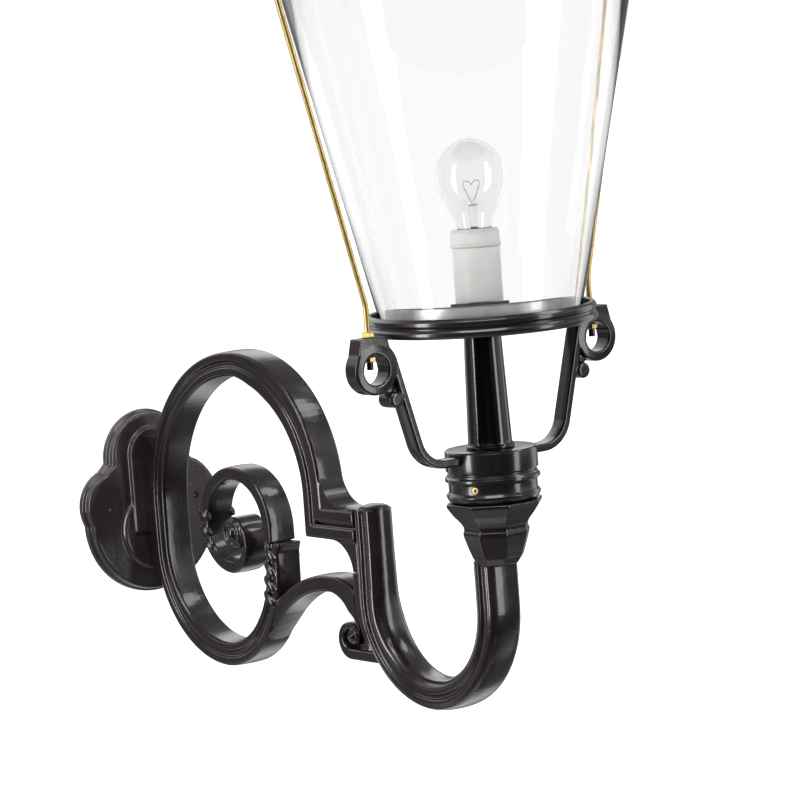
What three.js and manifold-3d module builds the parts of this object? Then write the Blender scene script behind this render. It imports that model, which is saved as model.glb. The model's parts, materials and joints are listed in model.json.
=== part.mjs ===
// Round wall lantern on a scrolled cast bracket, in millimetres, +Z up.
// The wall is the plane Y = 0 and the bracket reaches out along -Y.
// The origin is the middle of the wall plate's flat back, level with its two screw holes.

import * as THREE from 'three';
import { mergeVertices } from 'three/addons/utils/BufferGeometryUtils.js';
import Module from 'manifold-3d';

const wasm = await Module();
wasm.setup();

// Fits
const seatGap = 0.3; // gap kept where one piece seats on another
const overrun = 2; // how far a cut runs past the face that it leaves

// Wall plate
const plateDepth = 15;
const plateTierDepth = 8;
const plateTierInset = 3;
const plateEdgeRound = 2;
const crownLobe = { x: 0, z: 44, radius: 46 };
const sideLobe = { x: 41, z: 2, radius: 36 };
const bodyLobe = { x: 0, z: -14, radius: 73 };
const bossDepth = 21.5;
const bossHalfWidth = 26;
const bossTop = 47;
const bossFoot = -26;
const bossFootRadius = 38;
const plateHoleSpacing = 98;
const plateHoleRadius = 3.2;

// Cast bands of the bracket
const bandWidth = 30;
const bandDepth = 22.6;
const bandEdge = 3;
const bandCrown = 0.7;
const bandGrooveWidth = 6.4;
const bandGrooveDepth = 2.4;

// Big scroll, from its hook at the lower right round by the wall to the step
const crownRadius = 141;
const shoulderDrop = 28; // how much less the shoulder's radius is than the crown's
const stepRun = 71; // from the shoulder's line to the arm's
const backStraight = 38;
const footRadius = 97;
const hookRadius = 80;
const hookStraight = 31;
const huskDepth = 25;
const huskNeckDepth = 19;
const huskWidth = 33;
const stepDepth = 28;
const stepCornerFill = 23;
const stepRampHeight = 48;
const stepRampDip = 8;
const webWidth = 24;
const webTop = 66;
const webSpan = 8.2; // from the plate's boss to the band
const braceDepth = 15;
const braceRootDepth = 20;
const braceWidth = 27;
const braceSlope = 39;
const braceEndTurn = 50;
const braceShare = 0.792; // radius of the brace's turn over its run from the hook to the arm
const braceEndShare = 0.292;

// Inner scroll
const innerDepth = 12;
const innerWidth = 29;
const innerEdge = 2;
const innerRise = 12;
const innerRadius = 50;
const innerSideRadius = 39;
const innerFootRadius = 24;
const innerEyeRadius = 15.5;
const innerEyeTurn = 60;
const innerEyeRise = 8;

// J arm, its octagonal socket and its curl
const armRadius = 85.5;
const armSetback = 5; // of the arm's end limb behind the lantern's axis
const armTop = 16.5;
const armLimbFoot = -58.5; // height at which the arm starts to turn
const armStripDepth = 7;
const armStripWidth = 27;
const armStripTop = -24;
const socketRimHeight = 35;
const socketHeight = 55;
const socketRimLap = 3; // beyond the collar
const socketSides = 8;
const spigotRadius = 29.5;
const spigotHeight = 29;
const spigotBore = 14;
const spigotBoreDepth = 24;
const curlRadius = 13;
const curlDepth = 10;
const curlWidth = 29;
const curlOffset = 20;
const curlHeight = -104;
const curlEyeRadius = 6.5;

// Collar with its grub screws
const collarHeight = 45;
const collarWall = 10.5;
const collarWebDepth = 14;
const collarLidDepth = 3;
const grubRadius = 3;
const grubHeight = 12.7; // above the collar's foot
const grubCount = 3;
const grubTurn = -2.5;
const grubSocketRadius = 1.7;
const grubSocketDepth = 3;

// Centre tube and the threaded nipple inside it
const tubeHeight = 103;
const tubeFootRadius = 19;
const tubeHeadRadius = 16;
const tubeCollarRadius = 21;
const tubeCollarHeight = 3.5;
const tubeWall = 4;
const nippleRadius = 5;
const nippleBore = 3.4;
const nippleTail = 9;
const nippleHead = 8;
const nippleNutFlats = 17;
const nippleNutHeight = 5.5;

// Yoke arms with their eyes
const yokeWidth = 16;
const yokeDepth = 7;
const yokeEdge = 1.2;
const yokeInset = 13; // of the bar's inner end from the collar's outside
const yokeBendRadius = 28;
const yokeLeanAngle = 74.5;
const yokeWrapAngle = 50; // angle that the bar follows round the eye
const yokeSlotSlack = seatGap;
const eyeOffset = 21; // of the eye's middle beyond the base ring
const eyeRadius = 21.5;
const eyeHoleRadius = 13;
const eyeDrop = 22; // eye's middle below the base ring's foot
const lugHalfWidth = 13.5;
const lugRise = 27;
const knobRadius = 7;
const knobWidth = 19;
const knobReach = 33; // from the eye's middle
const knobAngle = 236;
const webAngle = 7; // degrees between the web's two roots, past the knob's angle

// Base ring, base plate and gasket
const baseRadius = 100;
const baseHeight = 17;
const baseFloor = 8;
const baseLip = 6.5;
const gasketDepth = 3;
const trayRoom = 1.5; // from the tray's edge to the glass
const trayHeight = 17.5;
const trayWall = 1.6;

// Lantern glass
const glassHeight = 328;
const glassInset = 13; // of the glass foot inside the base ring's edge
const glassTaper = 0.2235; // growth of the radius for each unit of height
const glassWall = 4.5;

// Tie rods and their nuts
const rodRadius = 2.5;
const rodOffset = 21.5; // beyond the base ring, where it stands upright in the lug
const rodTaper = 0.255;
const rodBendRise = 22; // above the lug
const rodBendRadius = 40;
const rodTail = 24; // below the top of the lug
const rodHead = 8; // above the top ring's lug
const rodNutFlats = 9;
const rodNutHeight = 4.5;
const capNutHeight = 11;

// Lamp holder and bulb
const holderPadLap = 4.5;
const holderPadDepth = 3.2;
const holderWall = 5.1;
const holderHeight = 45;
const holderFloor = 14;
const holderRingLap = 1.5;
const holderRingHeight = 15;
const shellRoom = 1.4; // between the bulb's cap and the shell
const shellWall = 0.5;
const shellHeight = 36;
const contactRadius = 4.5;
const contactHeight = 2;
const capRadius = 13.2;
const capHeight = 27;
const capThreads = 4;
const capThreadDepth = 0.8;
const bulbRadius = 30;
const bulbHeight = 87;
const bulbWall = 0.9;
const stemRadius = 8.5;
const stemHeight = 36;
const filamentRadius = 0.45;
const filamentSpread = 9;
const filamentHeight = 16;

// Top ring, its hinge and the hood
const topRingLap = 7.7; // of the ring's edge beyond the glass
const topRingSeat = 11.3; // of the ring's hole inside the glass
const topRingDepth = 6;
const topSkirt = 14;
const topSkirtWall = 4.5;
const topLugHalfWidth = 9;
const topLugOverhang = 9;
const hingeOffset = 13; // from the top ring's edge to the hinge's axis
const hingeRise = 8;
const hingeRadius = 4.6;
const hingePinRadius = 2.2;
const ringKnuckle = 14;
const hoodKnuckle = 10;
const hoodOverhang = 56; // of the eave beyond the top ring
const hoodHeight = 100;
const hoodWall = 2.6;
const hoodMouthInset = 2; // of the hole inside the chimney's outside
const hoodLift = 18; // eave above the top ring
const hoodSkirtInset = 7; // inside the top ring's edge
const screwRadius = 2.5;
const screwHeadRadius = 8;
const screwHeadHeight = 10;
const screwBossRadius = 9.5;

// Vent and finial
const chimneyRadius = 50;
const chimneyHeight = 38;
const chimneyWall = 4;
const chimneyFlangeWidth = 7;
const ventSlots = 10;
const ventSlotWidth = 10;
const ventCapOverhang = 27; // beyond the chimney
const ventCapHeight = 30;
const finialHeight = 66;
const finialRadius = 17;

// Radii that follow from the sizes above
const collarRadius = spigotRadius + collarWall;
const socketRimRadius = collarRadius + socketRimLap;
const yokeRoot = collarRadius - yokeInset;
const glassFootRadius = baseRadius - glassInset;
const glassHeadRadius = glassFootRadius + glassTaper * glassHeight;
const eyeX = baseRadius + eyeOffset;
const rodX = baseRadius + rodOffset;
const holderBore = capRadius + shellRoom + shellWall + seatGap;
const holderRadius = holderBore + holderWall;
const holderRingRadius = holderRadius + holderRingLap;
const holderPadRadius = holderRadius + holderPadLap;
const topRingRadius = glassHeadRadius + topRingLap;
const topRingInner = glassHeadRadius - topRingSeat;
const hoodRadius = topRingRadius + hoodOverhang;
const hoodSkirtRadius = topRingRadius - hoodSkirtInset;
const hoodMouth = chimneyRadius - hoodMouthInset;
const chimneyFlange = chimneyRadius + chimneyFlangeWidth;
const ventCapRadius = chimneyRadius + ventCapOverhang;

// Round pieces
const smallSides = 16;
const mediumSides = 24;
const largeSides = 36;
const boltSides = 12;
const plateSides = 24;

// Finishes
const finishes = {
  enamel: { color: 0x3a3335, roughness: 0.28, metalness: 0.2 },
  black: { color: 0x151415, roughness: 0.2, metalness: 0.2 },
  brass: { color: 0xb8933a, roughness: 0.25, metalness: 1 },
  porcelain: { color: 0xe9e6df, roughness: 0.35, metalness: 0 },
  tray: { color: 0xbfc0c0, roughness: 0.35, metalness: 0.3 },
  rubber: { color: 0x1b1b1b, roughness: 0.8, metalness: 0 },
  steel: { color: 0x9b9c9e, roughness: 0.35, metalness: 1 },
  glass: { color: 0xe8eeec, roughness: 0.05, metalness: 0, transparent: true, opacity: 0.3 },
};

// A closed geometry, with no doubled points or empty faces, and its faces turned out
function tidy(geometry) {
  const bare = geometry.clone();
  for (const name of Object.keys(bare.attributes)) {
    if (name !== 'position') bare.deleteAttribute(name);
  }
  const merged = mergeVertices(bare);
  const index = merged.index.array;
  const place = merged.attributes.position;
  const corners = [new THREE.Vector3(), new THREE.Vector3(), new THREE.Vector3()];
  const kept = [];
  let volume = 0;
  for (let i = 0; i < index.length; i += 3) {
    const [a, b, c] = [index[i], index[i + 1], index[i + 2]];
    if (a === b || b === c || c === a) continue;
    kept.push(a, b, c);
    [a, b, c].forEach((corner, k) => corners[k].fromBufferAttribute(place, corner));
    volume += corners[0].dot(corners[1].clone().cross(corners[2]));
  }
  if (volume < 0) {
    for (let i = 0; i < kept.length; i += 3) {
      [kept[i], kept[i + 1]] = [kept[i + 1], kept[i]];
    }
  }
  merged.setIndex(kept);
  return merged;
}

// Booleans
function toSolid(geometry) {
  const closed = tidy(geometry);
  return new wasm.Manifold(new wasm.Mesh({
    numProp: 3,
    vertProperties: Float32Array.from(closed.attributes.position.array),
    triVerts: Uint32Array.from(closed.index.array),
  }));
}

function toGeometry(solid) {
  const mesh = solid.getMesh();
  const points = Float32Array.from(mesh.vertProperties);
  const geometry = new THREE.BufferGeometry();
  geometry.setAttribute('position', new THREE.BufferAttribute(points, 3));
  geometry.setIndex(Array.from(mesh.triVerts));
  return geometry;
}

function join(first, ...others) {
  let solid = toSolid(first);
  for (const other of others) solid = solid.add(toSolid(other));
  return toGeometry(solid);
}

function cut(body, ...tools) {
  let solid = toSolid(body);
  for (const tool of tools) solid = solid.subtract(toSolid(tool));
  return toGeometry(solid);
}

// Turned pieces: the profile lists [radius, height]
function turned(profile, sides = mediumSides, phase = 0) {
  const points = profile.map(([radius, height]) => new THREE.Vector2(radius, height));
  const geometry = new THREE.LatheGeometry(points, sides, phase);
  geometry.rotateX(Math.PI / 2);
  return tidy(geometry);
}

function ring(outer, inner, foot, head, sides) {
  return turned([[inner, foot], [outer, foot], [outer, head], [inner, head], [inner, foot]], sides);
}

function disc(radius, foot, head, sides) {
  return turned([[0, foot], [radius, foot], [radius, head], [0, head]], sides);
}

// A rod along X, or along Y when asked, centred at a point
function crossRod(radius, length, centre, sides = smallSides, alongY = false) {
  const geometry = new THREE.CylinderGeometry(radius, radius, length, sides);
  if (!alongY) geometry.rotateZ(Math.PI / 2);
  return geometry.translate(centre.x, centre.y, centre.z);
}

// A box from its lowest to its highest corner
function block(low, high) {
  const size = [0, 1, 2].map((i) => high[i] - low[i]);
  const middle = [0, 1, 2].map((i) => (high[i] + low[i]) / 2);
  return new THREE.BoxGeometry(...size).translate(...middle);
}

// A hexagon prism with a bore, standing on the given height
function hexNut(flats, bore, foot, height) {
  const shape = new THREE.Shape();
  const corner = flats / Math.sqrt(3);
  for (let i = 0; i < 6; i += 1) {
    const angle = (i * Math.PI) / 3;
    if (i === 0) shape.moveTo(corner, 0);
    else shape.lineTo(corner * Math.cos(angle), corner * Math.sin(angle));
  }
  shape.closePath();
  const hole = new THREE.Path();
  hole.absarc(0, 0, bore, 0, Math.PI * 2, true);
  shape.holes.push(hole);
  return new THREE.ExtrudeGeometry(shape, { depth: height, bevelEnabled: false, curveSegments: boltSides / 2 })
    .translate(0, 0, foot);
}

// Bands: a section carried along stations, each with a place, a normal and a size
function arcPath(centre, radius, from, to, steps, depths, width) {
  const turn = Math.sign(to - from);
  return Array.from({ length: steps + 1 }, (_, i) => {
    const share = i / steps;
    const angle = THREE.MathUtils.degToRad(from + (to - from) * share);
    const [c, s] = [Math.cos(angle), Math.sin(angle)];
    return {
      u: centre[0] + radius * c,
      v: centre[1] + radius * s,
      nu: c * turn,
      nv: s * turn,
      stretch: 1,
      depth: depths[0] + (depths[1] - depths[0]) * share,
      width,
    };
  });
}

function linePath(from, to, steps, depths, width) {
  const length = Math.hypot(to[0] - from[0], to[1] - from[1]);
  const along = [(to[0] - from[0]) / length, (to[1] - from[1]) / length];
  return Array.from({ length: steps + 1 }, (_, i) => {
    const share = i / steps;
    return {
      u: from[0] + (to[0] - from[0]) * share,
      v: from[1] + (to[1] - from[1]) * share,
      nu: along[1],
      nv: -along[0],
      stretch: 1,
      depth: depths[0] + (depths[1] - depths[0]) * share,
      width,
    };
  });
}

// Stretches end to end, with the doubled stations between them left out
function chain(...stretches) {
  const stations = [...stretches[0]];
  for (const stretch of stretches.slice(1)) stations.push(...stretch.slice(1));
  return stations;
}

// The band's section: crowned faces, rounded edges and a groove along each side
function castSection({ depth, width }) {
  const h = depth / 2;
  const w = width / 2;
  const g = bandGrooveWidth / 2;
  const face = [[h + bandCrown, 0], [h, w - bandEdge], [h - bandEdge, w]];
  const groove = [[g, w], [g, w - bandGrooveDepth]];
  return aroundSection([...face, ...groove]);
}

// The thinner bands' section: flat faces with rounded edges
function plainSection({ depth, width }, edge) {
  const h = depth / 2;
  const w = width / 2;
  return aroundSection([[h, 0], [h, w - edge], [h - edge, w]]);
}

function aroundSection(quarter) {
  const upper = quarter;
  const lower = quarter.map(([a, b]) => [-a, b]).reverse();
  const half = [...upper, ...lower];
  const mirrored = half.slice(1, -1).map(([a, b]) => [a, -b]).reverse();
  return [...half, ...mirrored];
}

const inBracketPlane = (u, v, side) => [side, -u, v];
const inYokePlane = (u, v, side) => [u, side, v];

function sweep(stations, sectionOf, toPoint) {
  const points = [];
  const faces = [];
  const sections = stations.map(sectionOf);
  const count = sections[0].length;
  stations.forEach((station, i) => {
    for (const [across, side] of sections[i]) {
      const out = across * station.stretch;
      points.push(...toPoint(station.u + station.nu * out, station.v + station.nv * out, side));
    }
  });
  for (let i = 0; i + 1 < stations.length; i += 1) {
    for (let j = 0; j < count; j += 1) {
      const a = i * count + j;
      const b = i * count + ((j + 1) % count);
      faces.push(a, b, b + count, a, b + count, a + count);
    }
  }
  faces.push(...capFaces(sections[0], 0, true));
  faces.push(...capFaces(sections[stations.length - 1], (stations.length - 1) * count, false));
  const geometry = new THREE.BufferGeometry();
  geometry.setAttribute('position', new THREE.Float32BufferAttribute(points, 3));
  geometry.setIndex(faces);
  return tidy(geometry);
}

function capFaces(section, first, reversed) {
  const contour = section.map(([a, b]) => new THREE.Vector2(a, b));
  const turn = Math.sign(THREE.ShapeUtils.area(contour));
  const faces = [];
  for (const [a, b, c] of THREE.ShapeUtils.triangulateShape(contour.slice(), [])) {
    const sameTurn = Math.sign(THREE.ShapeUtils.area([contour[a], contour[b], contour[c]])) === turn;
    const [p, q] = sameTurn === reversed ? [c, b] : [b, c];
    faces.push(first + a, first + p, first + q);
  }
  return faces;
}

// A flat outline in the bracket's plane, made as thick as asked across it
function plateInPlane(shape, width, edge = 0) {
  const geometry = new THREE.ExtrudeGeometry(shape, {
    depth: width - 2 * edge,
    bevelEnabled: edge > 0,
    bevelThickness: edge,
    bevelSize: edge,
    bevelOffset: -edge,
    bevelSegments: 1,
    curveSegments: 8,
  });
  geometry.translate(0, 0, edge - width / 2);
  geometry.applyMatrix4(new THREE.Matrix4().makeBasis(
    new THREE.Vector3(0, -1, 0),
    new THREE.Vector3(0, 0, 1),
    new THREE.Vector3(-1, 0, 0),
  ));
  return geometry;
}

// Wall plate
function lobes(inset, from, to) {
  const made = [crownLobe, sideLobe, { ...sideLobe, x: -sideLobe.x }, bodyLobe].map((lobe) => {
    const shape = new THREE.Shape();
    shape.absarc(lobe.x, lobe.z, lobe.radius - inset, 0, Math.PI * 2);
    return standing(shape, from, to, plateEdgeRound);
  });
  return join(...made);
}

// An outline in the wall's plane, from one distance off the wall to another
function standing(shape, from, to, edge = 0) {
  const geometry = new THREE.ExtrudeGeometry(shape, {
    depth: to - from - edge,
    bevelEnabled: edge > 0,
    bevelThickness: edge,
    bevelSize: edge,
    bevelOffset: -edge,
    bevelSegments: 1,
    curveSegments: plateSides / 2,
  });
  geometry.rotateX(Math.PI / 2);
  return geometry.translate(0, -from, 0);
}

function wallPlate() {
  const boss = new THREE.Shape();
  boss.moveTo(bossHalfWidth, bossFoot);
  boss.lineTo(bossHalfWidth, bossTop);
  boss.absarc(0, bossTop, bossHalfWidth, 0, Math.PI);
  boss.lineTo(-bossHalfWidth, bossFoot);
  boss.closePath();
  const foot = new THREE.Shape();
  foot.absarc(0, bossFoot, bossFootRadius, 0, Math.PI * 2);
  const body = join(
    lobes(0, 0, plateTierDepth),
    lobes(plateTierInset, 0, plateDepth),
    standing(boss, plateTierDepth, bossDepth, plateEdgeRound),
    standing(foot, plateTierDepth, (plateDepth + bossDepth) / 2, plateEdgeRound),
  );
  const holes = [-1, 1].map((side) => crossRod(
    plateHoleRadius,
    2 * (plateDepth + overrun),
    { x: (side * plateHoleSpacing) / 2, y: 0, z: 0 },
    smallSides,
    true,
  ));
  const beside = 2 * (sideLobe.x + bodyLobe.radius);
  const behind = block([-beside, 0, -beside], [beside, 2 * plateEdgeRound, beside]);
  return cut(body, behind, ...holes);
}

// Places that the bracket's castings share
const backLine = bossDepth + seatGap + webSpan + bandDepth / 2 + bandCrown;
const crownCentre = [backLine + crownRadius, 0];
const shoulderRadius = crownRadius - shoulderDrop;
const shoulderCentre = [crownCentre[0], shoulderDrop];
const shoulderLine = shoulderCentre[0] + shoulderRadius;
const footCentre = [backLine + footRadius, -backStraight];
const hookCentre = [footCentre[0], footCentre[1] - footRadius + hookRadius];
const hookLine = hookCentre[0] + hookRadius;
const hookTop = hookCentre[1] + hookStraight;
const armLine = shoulderLine + stepRun;
const armEnd = armLine + 2 * armRadius;
const reach = armEnd + armSetback; // wall to the lantern's axis
const stepEnd = armLine - bandDepth / 2 - bandCrown - seatGap;
const stepFoot = -stepDepth / 2;

// Big scroll: hook, foot, back, crown, shoulder and the squared step that meets the arm
function scrollBand() {
  const huskLip = hookTop - hookStraight / 4;
  const husk = chain(
    linePath([hookLine, hookTop], [hookLine, huskLip], 1, [huskDepth, huskNeckDepth], huskWidth),
    linePath([hookLine, huskLip], [hookLine, hookCentre[1]], 2, [huskNeckDepth, huskNeckDepth], bandWidth),
  );
  const round = chain(
    husk,
    arcPath(hookCentre, hookRadius, 0, -90, 8, [huskNeckDepth, bandDepth], bandWidth),
    arcPath(footCentre, footRadius, -90, -180, 8, [bandDepth, bandDepth], bandWidth),
    linePath([backLine, -backStraight], [backLine, 0], 1, [bandDepth, bandDepth], bandWidth),
    arcPath(crownCentre, crownRadius, 180, 90, 10, [bandDepth, bandDepth], bandWidth),
    arcPath(shoulderCentre, shoulderRadius, 90, 0, 9, [bandDepth, bandDepth], bandWidth),
  );
  const corner = {
    u: shoulderLine,
    v: 0,
    nu: -Math.SQRT1_2,
    nv: -Math.SQRT1_2,
    stretch: Math.SQRT2,
    depth: (bandDepth + stepDepth) / 2,
    width: bandWidth,
  };
  const tread = linePath([shoulderLine + stepDepth, 0], [stepEnd, 0], 1, [stepDepth, stepDepth], bandWidth);
  return sweep([...round, corner, ...tread], castSection, inBracketPlane);
}

// Brace that leaves the hook and runs over to the arm
function braceBand() {
  const slope = THREE.MathUtils.degToRad(braceSlope);
  const rootAngle = braceSlope - 90;
  const root = [
    hookCentre[0] + hookRadius * Math.cos(THREE.MathUtils.degToRad(rootAngle)),
    hookCentre[1] + hookRadius * Math.sin(THREE.MathUtils.degToRad(rootAngle)),
  ];
  const run = stepEnd - bandDepth / 2 - root[0];
  const braceRadius = run * braceShare;
  const braceEndRadius = run * braceEndShare;
  const endTurn = THREE.MathUtils.degToRad(braceEndTurn);
  const turns = braceRadius * Math.sin(slope) + braceEndRadius * Math.sin(endTurn);
  const straight = (run - turns) / Math.cos(slope);
  const knee = [root[0] + straight * Math.cos(slope), root[1] + straight * Math.sin(slope)];
  const over = [knee[0] + braceRadius * Math.sin(slope), knee[1] - braceRadius * Math.cos(slope)];
  const endCentre = [over[0], over[1] + braceRadius - braceEndRadius];
  const stations = chain(
    linePath(root, knee, 2, [braceRootDepth, braceDepth], braceWidth),
    arcPath(over, braceRadius, 90 + braceSlope, 90, 5, [braceDepth, braceDepth], braceWidth),
    arcPath(endCentre, braceEndRadius, 90, 90 - braceEndTurn, 5, [braceDepth, bandDepth], braceWidth),
  );
  return sweep(stations, (station) => plainSection(station, bandEdge), inBracketPlane);
}

function bigScroll() {
  const ramp = new THREE.Shape();
  const rampStart = shoulderLine + bandDepth / 2 - bandEdge;
  ramp.moveTo(rampStart - bandEdge, 0);
  ramp.lineTo(rampStart - bandEdge, stepRampHeight);
  ramp.lineTo(rampStart, stepRampHeight);
  ramp.quadraticCurveTo(rampStart + stepRampDip, stepRampDip, stepEnd, armTop);
  ramp.lineTo(stepEnd, 0);
  ramp.closePath();
  const fill = new THREE.Shape();
  fill.moveTo(stepEnd, stepFoot + bandEdge);
  fill.lineTo(stepEnd - stepCornerFill, stepFoot + bandEdge);
  fill.lineTo(stepEnd - stepCornerFill, stepFoot);
  fill.absarc(stepEnd - stepCornerFill, stepFoot - stepCornerFill, stepCornerFill, Math.PI / 2, 0, true);
  fill.closePath();
  const web = block(
    [-webWidth / 2, -backLine - bandEdge, bossFoot - bossFootRadius],
    [webWidth / 2, -bossDepth - seatGap, webTop],
  );
  const whole = join(
    scrollBand(),
    braceBand(),
    plateInPlane(ramp, bandWidth - bandEdge, bandEdge / 2),
    plateInPlane(fill, bandWidth - 2 * bandEdge),
    web,
  );
  const beyond = block(
    [-bandWidth, -reach, -crownRadius],
    [bandWidth, -stepEnd, crownRadius],
  );
  return cut(whole, beyond, armStrip(seatGap));
}

// Inner scroll, which rises out of the hook's husk
function innerScroll() {
  const centre = [hookLine - innerRadius, hookTop + innerRise];
  const left = centre[0] - innerRadius;
  const side = [left + innerSideRadius, centre[1]];
  const foot = [side[0], side[1] - innerSideRadius + innerFootRadius];
  const start = hookTop + seatGap;
  const depths = [innerDepth, innerDepth];
  const tipDepth = innerDepth / 2;
  const tip = [foot[0] + innerFootRadius - innerEyeRadius, foot[1]];
  const stations = chain(
    linePath([hookLine, start], [hookLine, centre[1]], 1, depths, innerWidth),
    arcPath(centre, innerRadius, 0, 180, 12, depths, innerWidth),
    arcPath(side, innerSideRadius, 180, 270, 6, depths, innerWidth),
    arcPath(foot, innerFootRadius, 270, 360, 6, [innerDepth, tipDepth], innerWidth),
    arcPath(tip, innerEyeRadius, 0, innerEyeTurn, 3, [tipDepth, tipDepth], innerWidth),
  );
  const strip = sweep(stations, (station) => plainSection(station, innerEdge), inBracketPlane);
  const eye = {
    x: 0,
    y: -(tip[0] - tipDepth / 2),
    z: tip[1] + innerEyeRise,
  };
  return join(
    strip,
    crossRod(innerEyeRadius, innerWidth, eye),
    crossRod(innerEyeRadius - innerEdge, innerWidth + 2 * innerEdge, eye),
  );
}

// J arm: band, octagonal socket, spigot for the collar and a small curl
const socketFoot = socketRimHeight - socketHeight;
const socketShares = [
  [0.42, 0], [0.53, 0.11], [0.62, 0.3], [0.69, 0.47], [0.7, 0.53], [0.67, 0.55], [0.68, 0.62],
  [0.75, 0.7], [0.87, 0.8], [1, 0.95], [1, 1],
];

function armBand() {
  const turnCentre = [armLine + armRadius, armLimbFoot];
  const depths = [bandDepth, bandDepth];
  return sweep(chain(
    linePath([armLine, armTop], [armLine, armLimbFoot], 1, depths, bandWidth),
    arcPath(turnCentre, armRadius, 180, 360, 18, depths, bandWidth),
    linePath([armEnd, armLimbFoot], [armEnd, socketFoot + bandEdge], 1, depths, bandWidth),
  ), castSection, inBracketPlane);
}

function curlBand() {
  const centre = [armLine - bandDepth / 2 - curlOffset, curlHeight];
  const depths = [curlDepth, curlDepth];
  const foot = centre[1] - curlRadius;
  const stations = chain(
    arcPath(centre, curlRadius, 20, 270, 10, [curlDepth / 2, curlDepth], curlWidth),
    linePath([centre[0], foot], [armLine + bandDepth, foot], 1, depths, curlWidth),
  );
  const eye = { x: 0, y: -(centre[0] + curlEyeRadius), z: centre[1] + curlEyeRadius / 2 };
  return join(
    sweep(stations, (station) => plainSection(station, innerEdge), inBracketPlane),
    crossRod(curlEyeRadius, curlWidth + innerEdge, eye),
  );
}

// Thin strip that lies on the arm's wall side and runs down into the curl
function armStrip(room = 0) {
  const line = armLine - (bandDepth + armStripDepth) / 2 + bandEdge / 2;
  const turnCentre = [armLine + armRadius, armLimbFoot];
  const radius = turnCentre[0] - line;
  const endTurn = THREE.MathUtils.radToDeg(Math.asin((armLimbFoot - curlHeight) / radius));
  const depths = [armStripDepth + 2 * room, armStripDepth + 2 * room];
  const width = armStripWidth + 2 * room;
  return sweep(chain(
    linePath([line, armStripTop + room], [line, armLimbFoot], 1, depths, width),
    arcPath(turnCentre, radius, 180, 180 + endTurn, 5, depths, width),
  ), (station) => plainSection(station, innerEdge), inBracketPlane);
}

function jArm() {
  const profile = socketShares.map(([r, h]) => [r * socketRimRadius, socketFoot + h * socketHeight]);
  const cup = [[0, socketFoot], ...profile, [0, socketRimHeight]];
  const socket = turned(cup, socketSides, Math.PI / socketSides);
  const spigotFoot = socketRimHeight - bandEdge;
  const spigotHead = socketRimHeight + spigotHeight;
  const spigot = disc(spigotRadius, spigotFoot, spigotHead, mediumSides);
  const bore = disc(spigotBore, spigotHead - spigotBoreDepth, spigotHead + overrun, mediumSides);
  for (const piece of [socket, spigot, bore]) piece.translate(0, -reach, 0);
  return cut(join(armBand(), armStrip(), curlBand(), socket, spigot), bore);
}

// Heights on the lantern's axis
const collarFoot = socketRimHeight + seatGap;
const collarHead = collarFoot + collarHeight;
const tubeFoot = collarHead + seatGap;
const tubeHead = tubeFoot + tubeHeight;
const baseFoot = tubeHead + seatGap;
const baseFloorTop = baseFoot + baseFloor;
const baseHead = baseFoot + baseHeight;
const gasketFoot = baseFloorTop + seatGap;
const glassFoot = gasketFoot + gasketDepth + seatGap;
const glassHead = glassFoot + glassHeight;
const trayHead = gasketFoot + trayHeight;
const trayRadius = glassFootRadius - glassWall - trayRoom;
const topGasketFoot = glassHead + seatGap;
const topRingFoot = topGasketFoot + gasketDepth + seatGap;
const topRingHead = topRingFoot + topRingDepth;

// Collar: beads, a web with slots for the yoke and holes for the grub screws
const collarShares = [
  [0.92, 0], [0.98, 0.05], [1.01, 0.1], [1.02, 0.14], [0.98, 0.19], [0.96, 0.2], [0.96, 0.37], [1.03, 0.42],
  [1.03, 0.47], [0.98, 0.51], [0.98, 0.54], [0.94, 0.55], [0.94, 0.58], [1, 0.6], [1, 0.97], [0.97, 1],
];
const collarBandShare = collarShares[5][0];
const collarBore = spigotRadius + seatGap;
const collarWebFoot = collarHead - collarWebDepth;
const yokeLevel = collarHead - collarWebDepth + yokeDepth;

function collar() {
  const outer = collarShares.map(([r, h]) => [r * collarRadius, collarFoot + h * collarHeight]);
  const bore = nippleRadius + seatGap;
  const body = turned([
    [collarBore, collarFoot],
    ...outer,
    [bore, collarHead],
    [bore, collarWebFoot],
    [collarBore, collarWebFoot],
    [collarBore, collarFoot],
  ]);
  const slotFoot = yokeLevel - yokeDepth / 2 - yokeSlotSlack;
  const slotHead = collarHead - collarLidDepth;
  const slots = [-1, 1].map((side) => {
    const ends = [side * (yokeRoot - seatGap), side * (collarRadius + overrun)].sort((a, b) => a - b);
    return block(
      [ends[0], -yokeWidth / 2 - seatGap, slotFoot],
      [ends[1], yokeWidth / 2 + seatGap, slotHead],
    );
  });
  const grubHoles = grubAngles().map((angle) => radialRod(grubRadius + seatGap, 2 * collarRadius, angle));
  return cut(body, ...slots, ...grubHoles);
}

// The grub screws stand evenly round the collar, one of them nearly facing the wall
function grubAngles() {
  const first = THREE.MathUtils.degToRad(90 + grubTurn);
  return Array.from({ length: grubCount }, (_, i) => first + (i * 2 * Math.PI) / grubCount);
}

function radialRod(radius, length, angle) {
  const geometry = new THREE.CylinderGeometry(radius, radius, length, smallSides);
  geometry.rotateZ(-Math.PI / 2);
  geometry.translate(length / 2 + spigotRadius / 2, 0, 0);
  geometry.rotateZ(angle);
  return geometry.translate(0, 0, collarFoot + grubHeight);
}

const grubInner = spigotRadius + 2 * seatGap;
const grubOuter = collarRadius * collarBandShare - seatGap;

function grubScrew() {
  const length = grubOuter - grubInner;
  const socket = new THREE.CylinderGeometry(grubSocketRadius, grubSocketRadius, 2 * grubSocketDepth, 6);
  const body = new THREE.CylinderGeometry(grubRadius, grubRadius, length, boltSides);
  socket.translate(0, length / 2, 0);
  return cut(body, socket).rotateZ(-Math.PI / 2);
}

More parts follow.
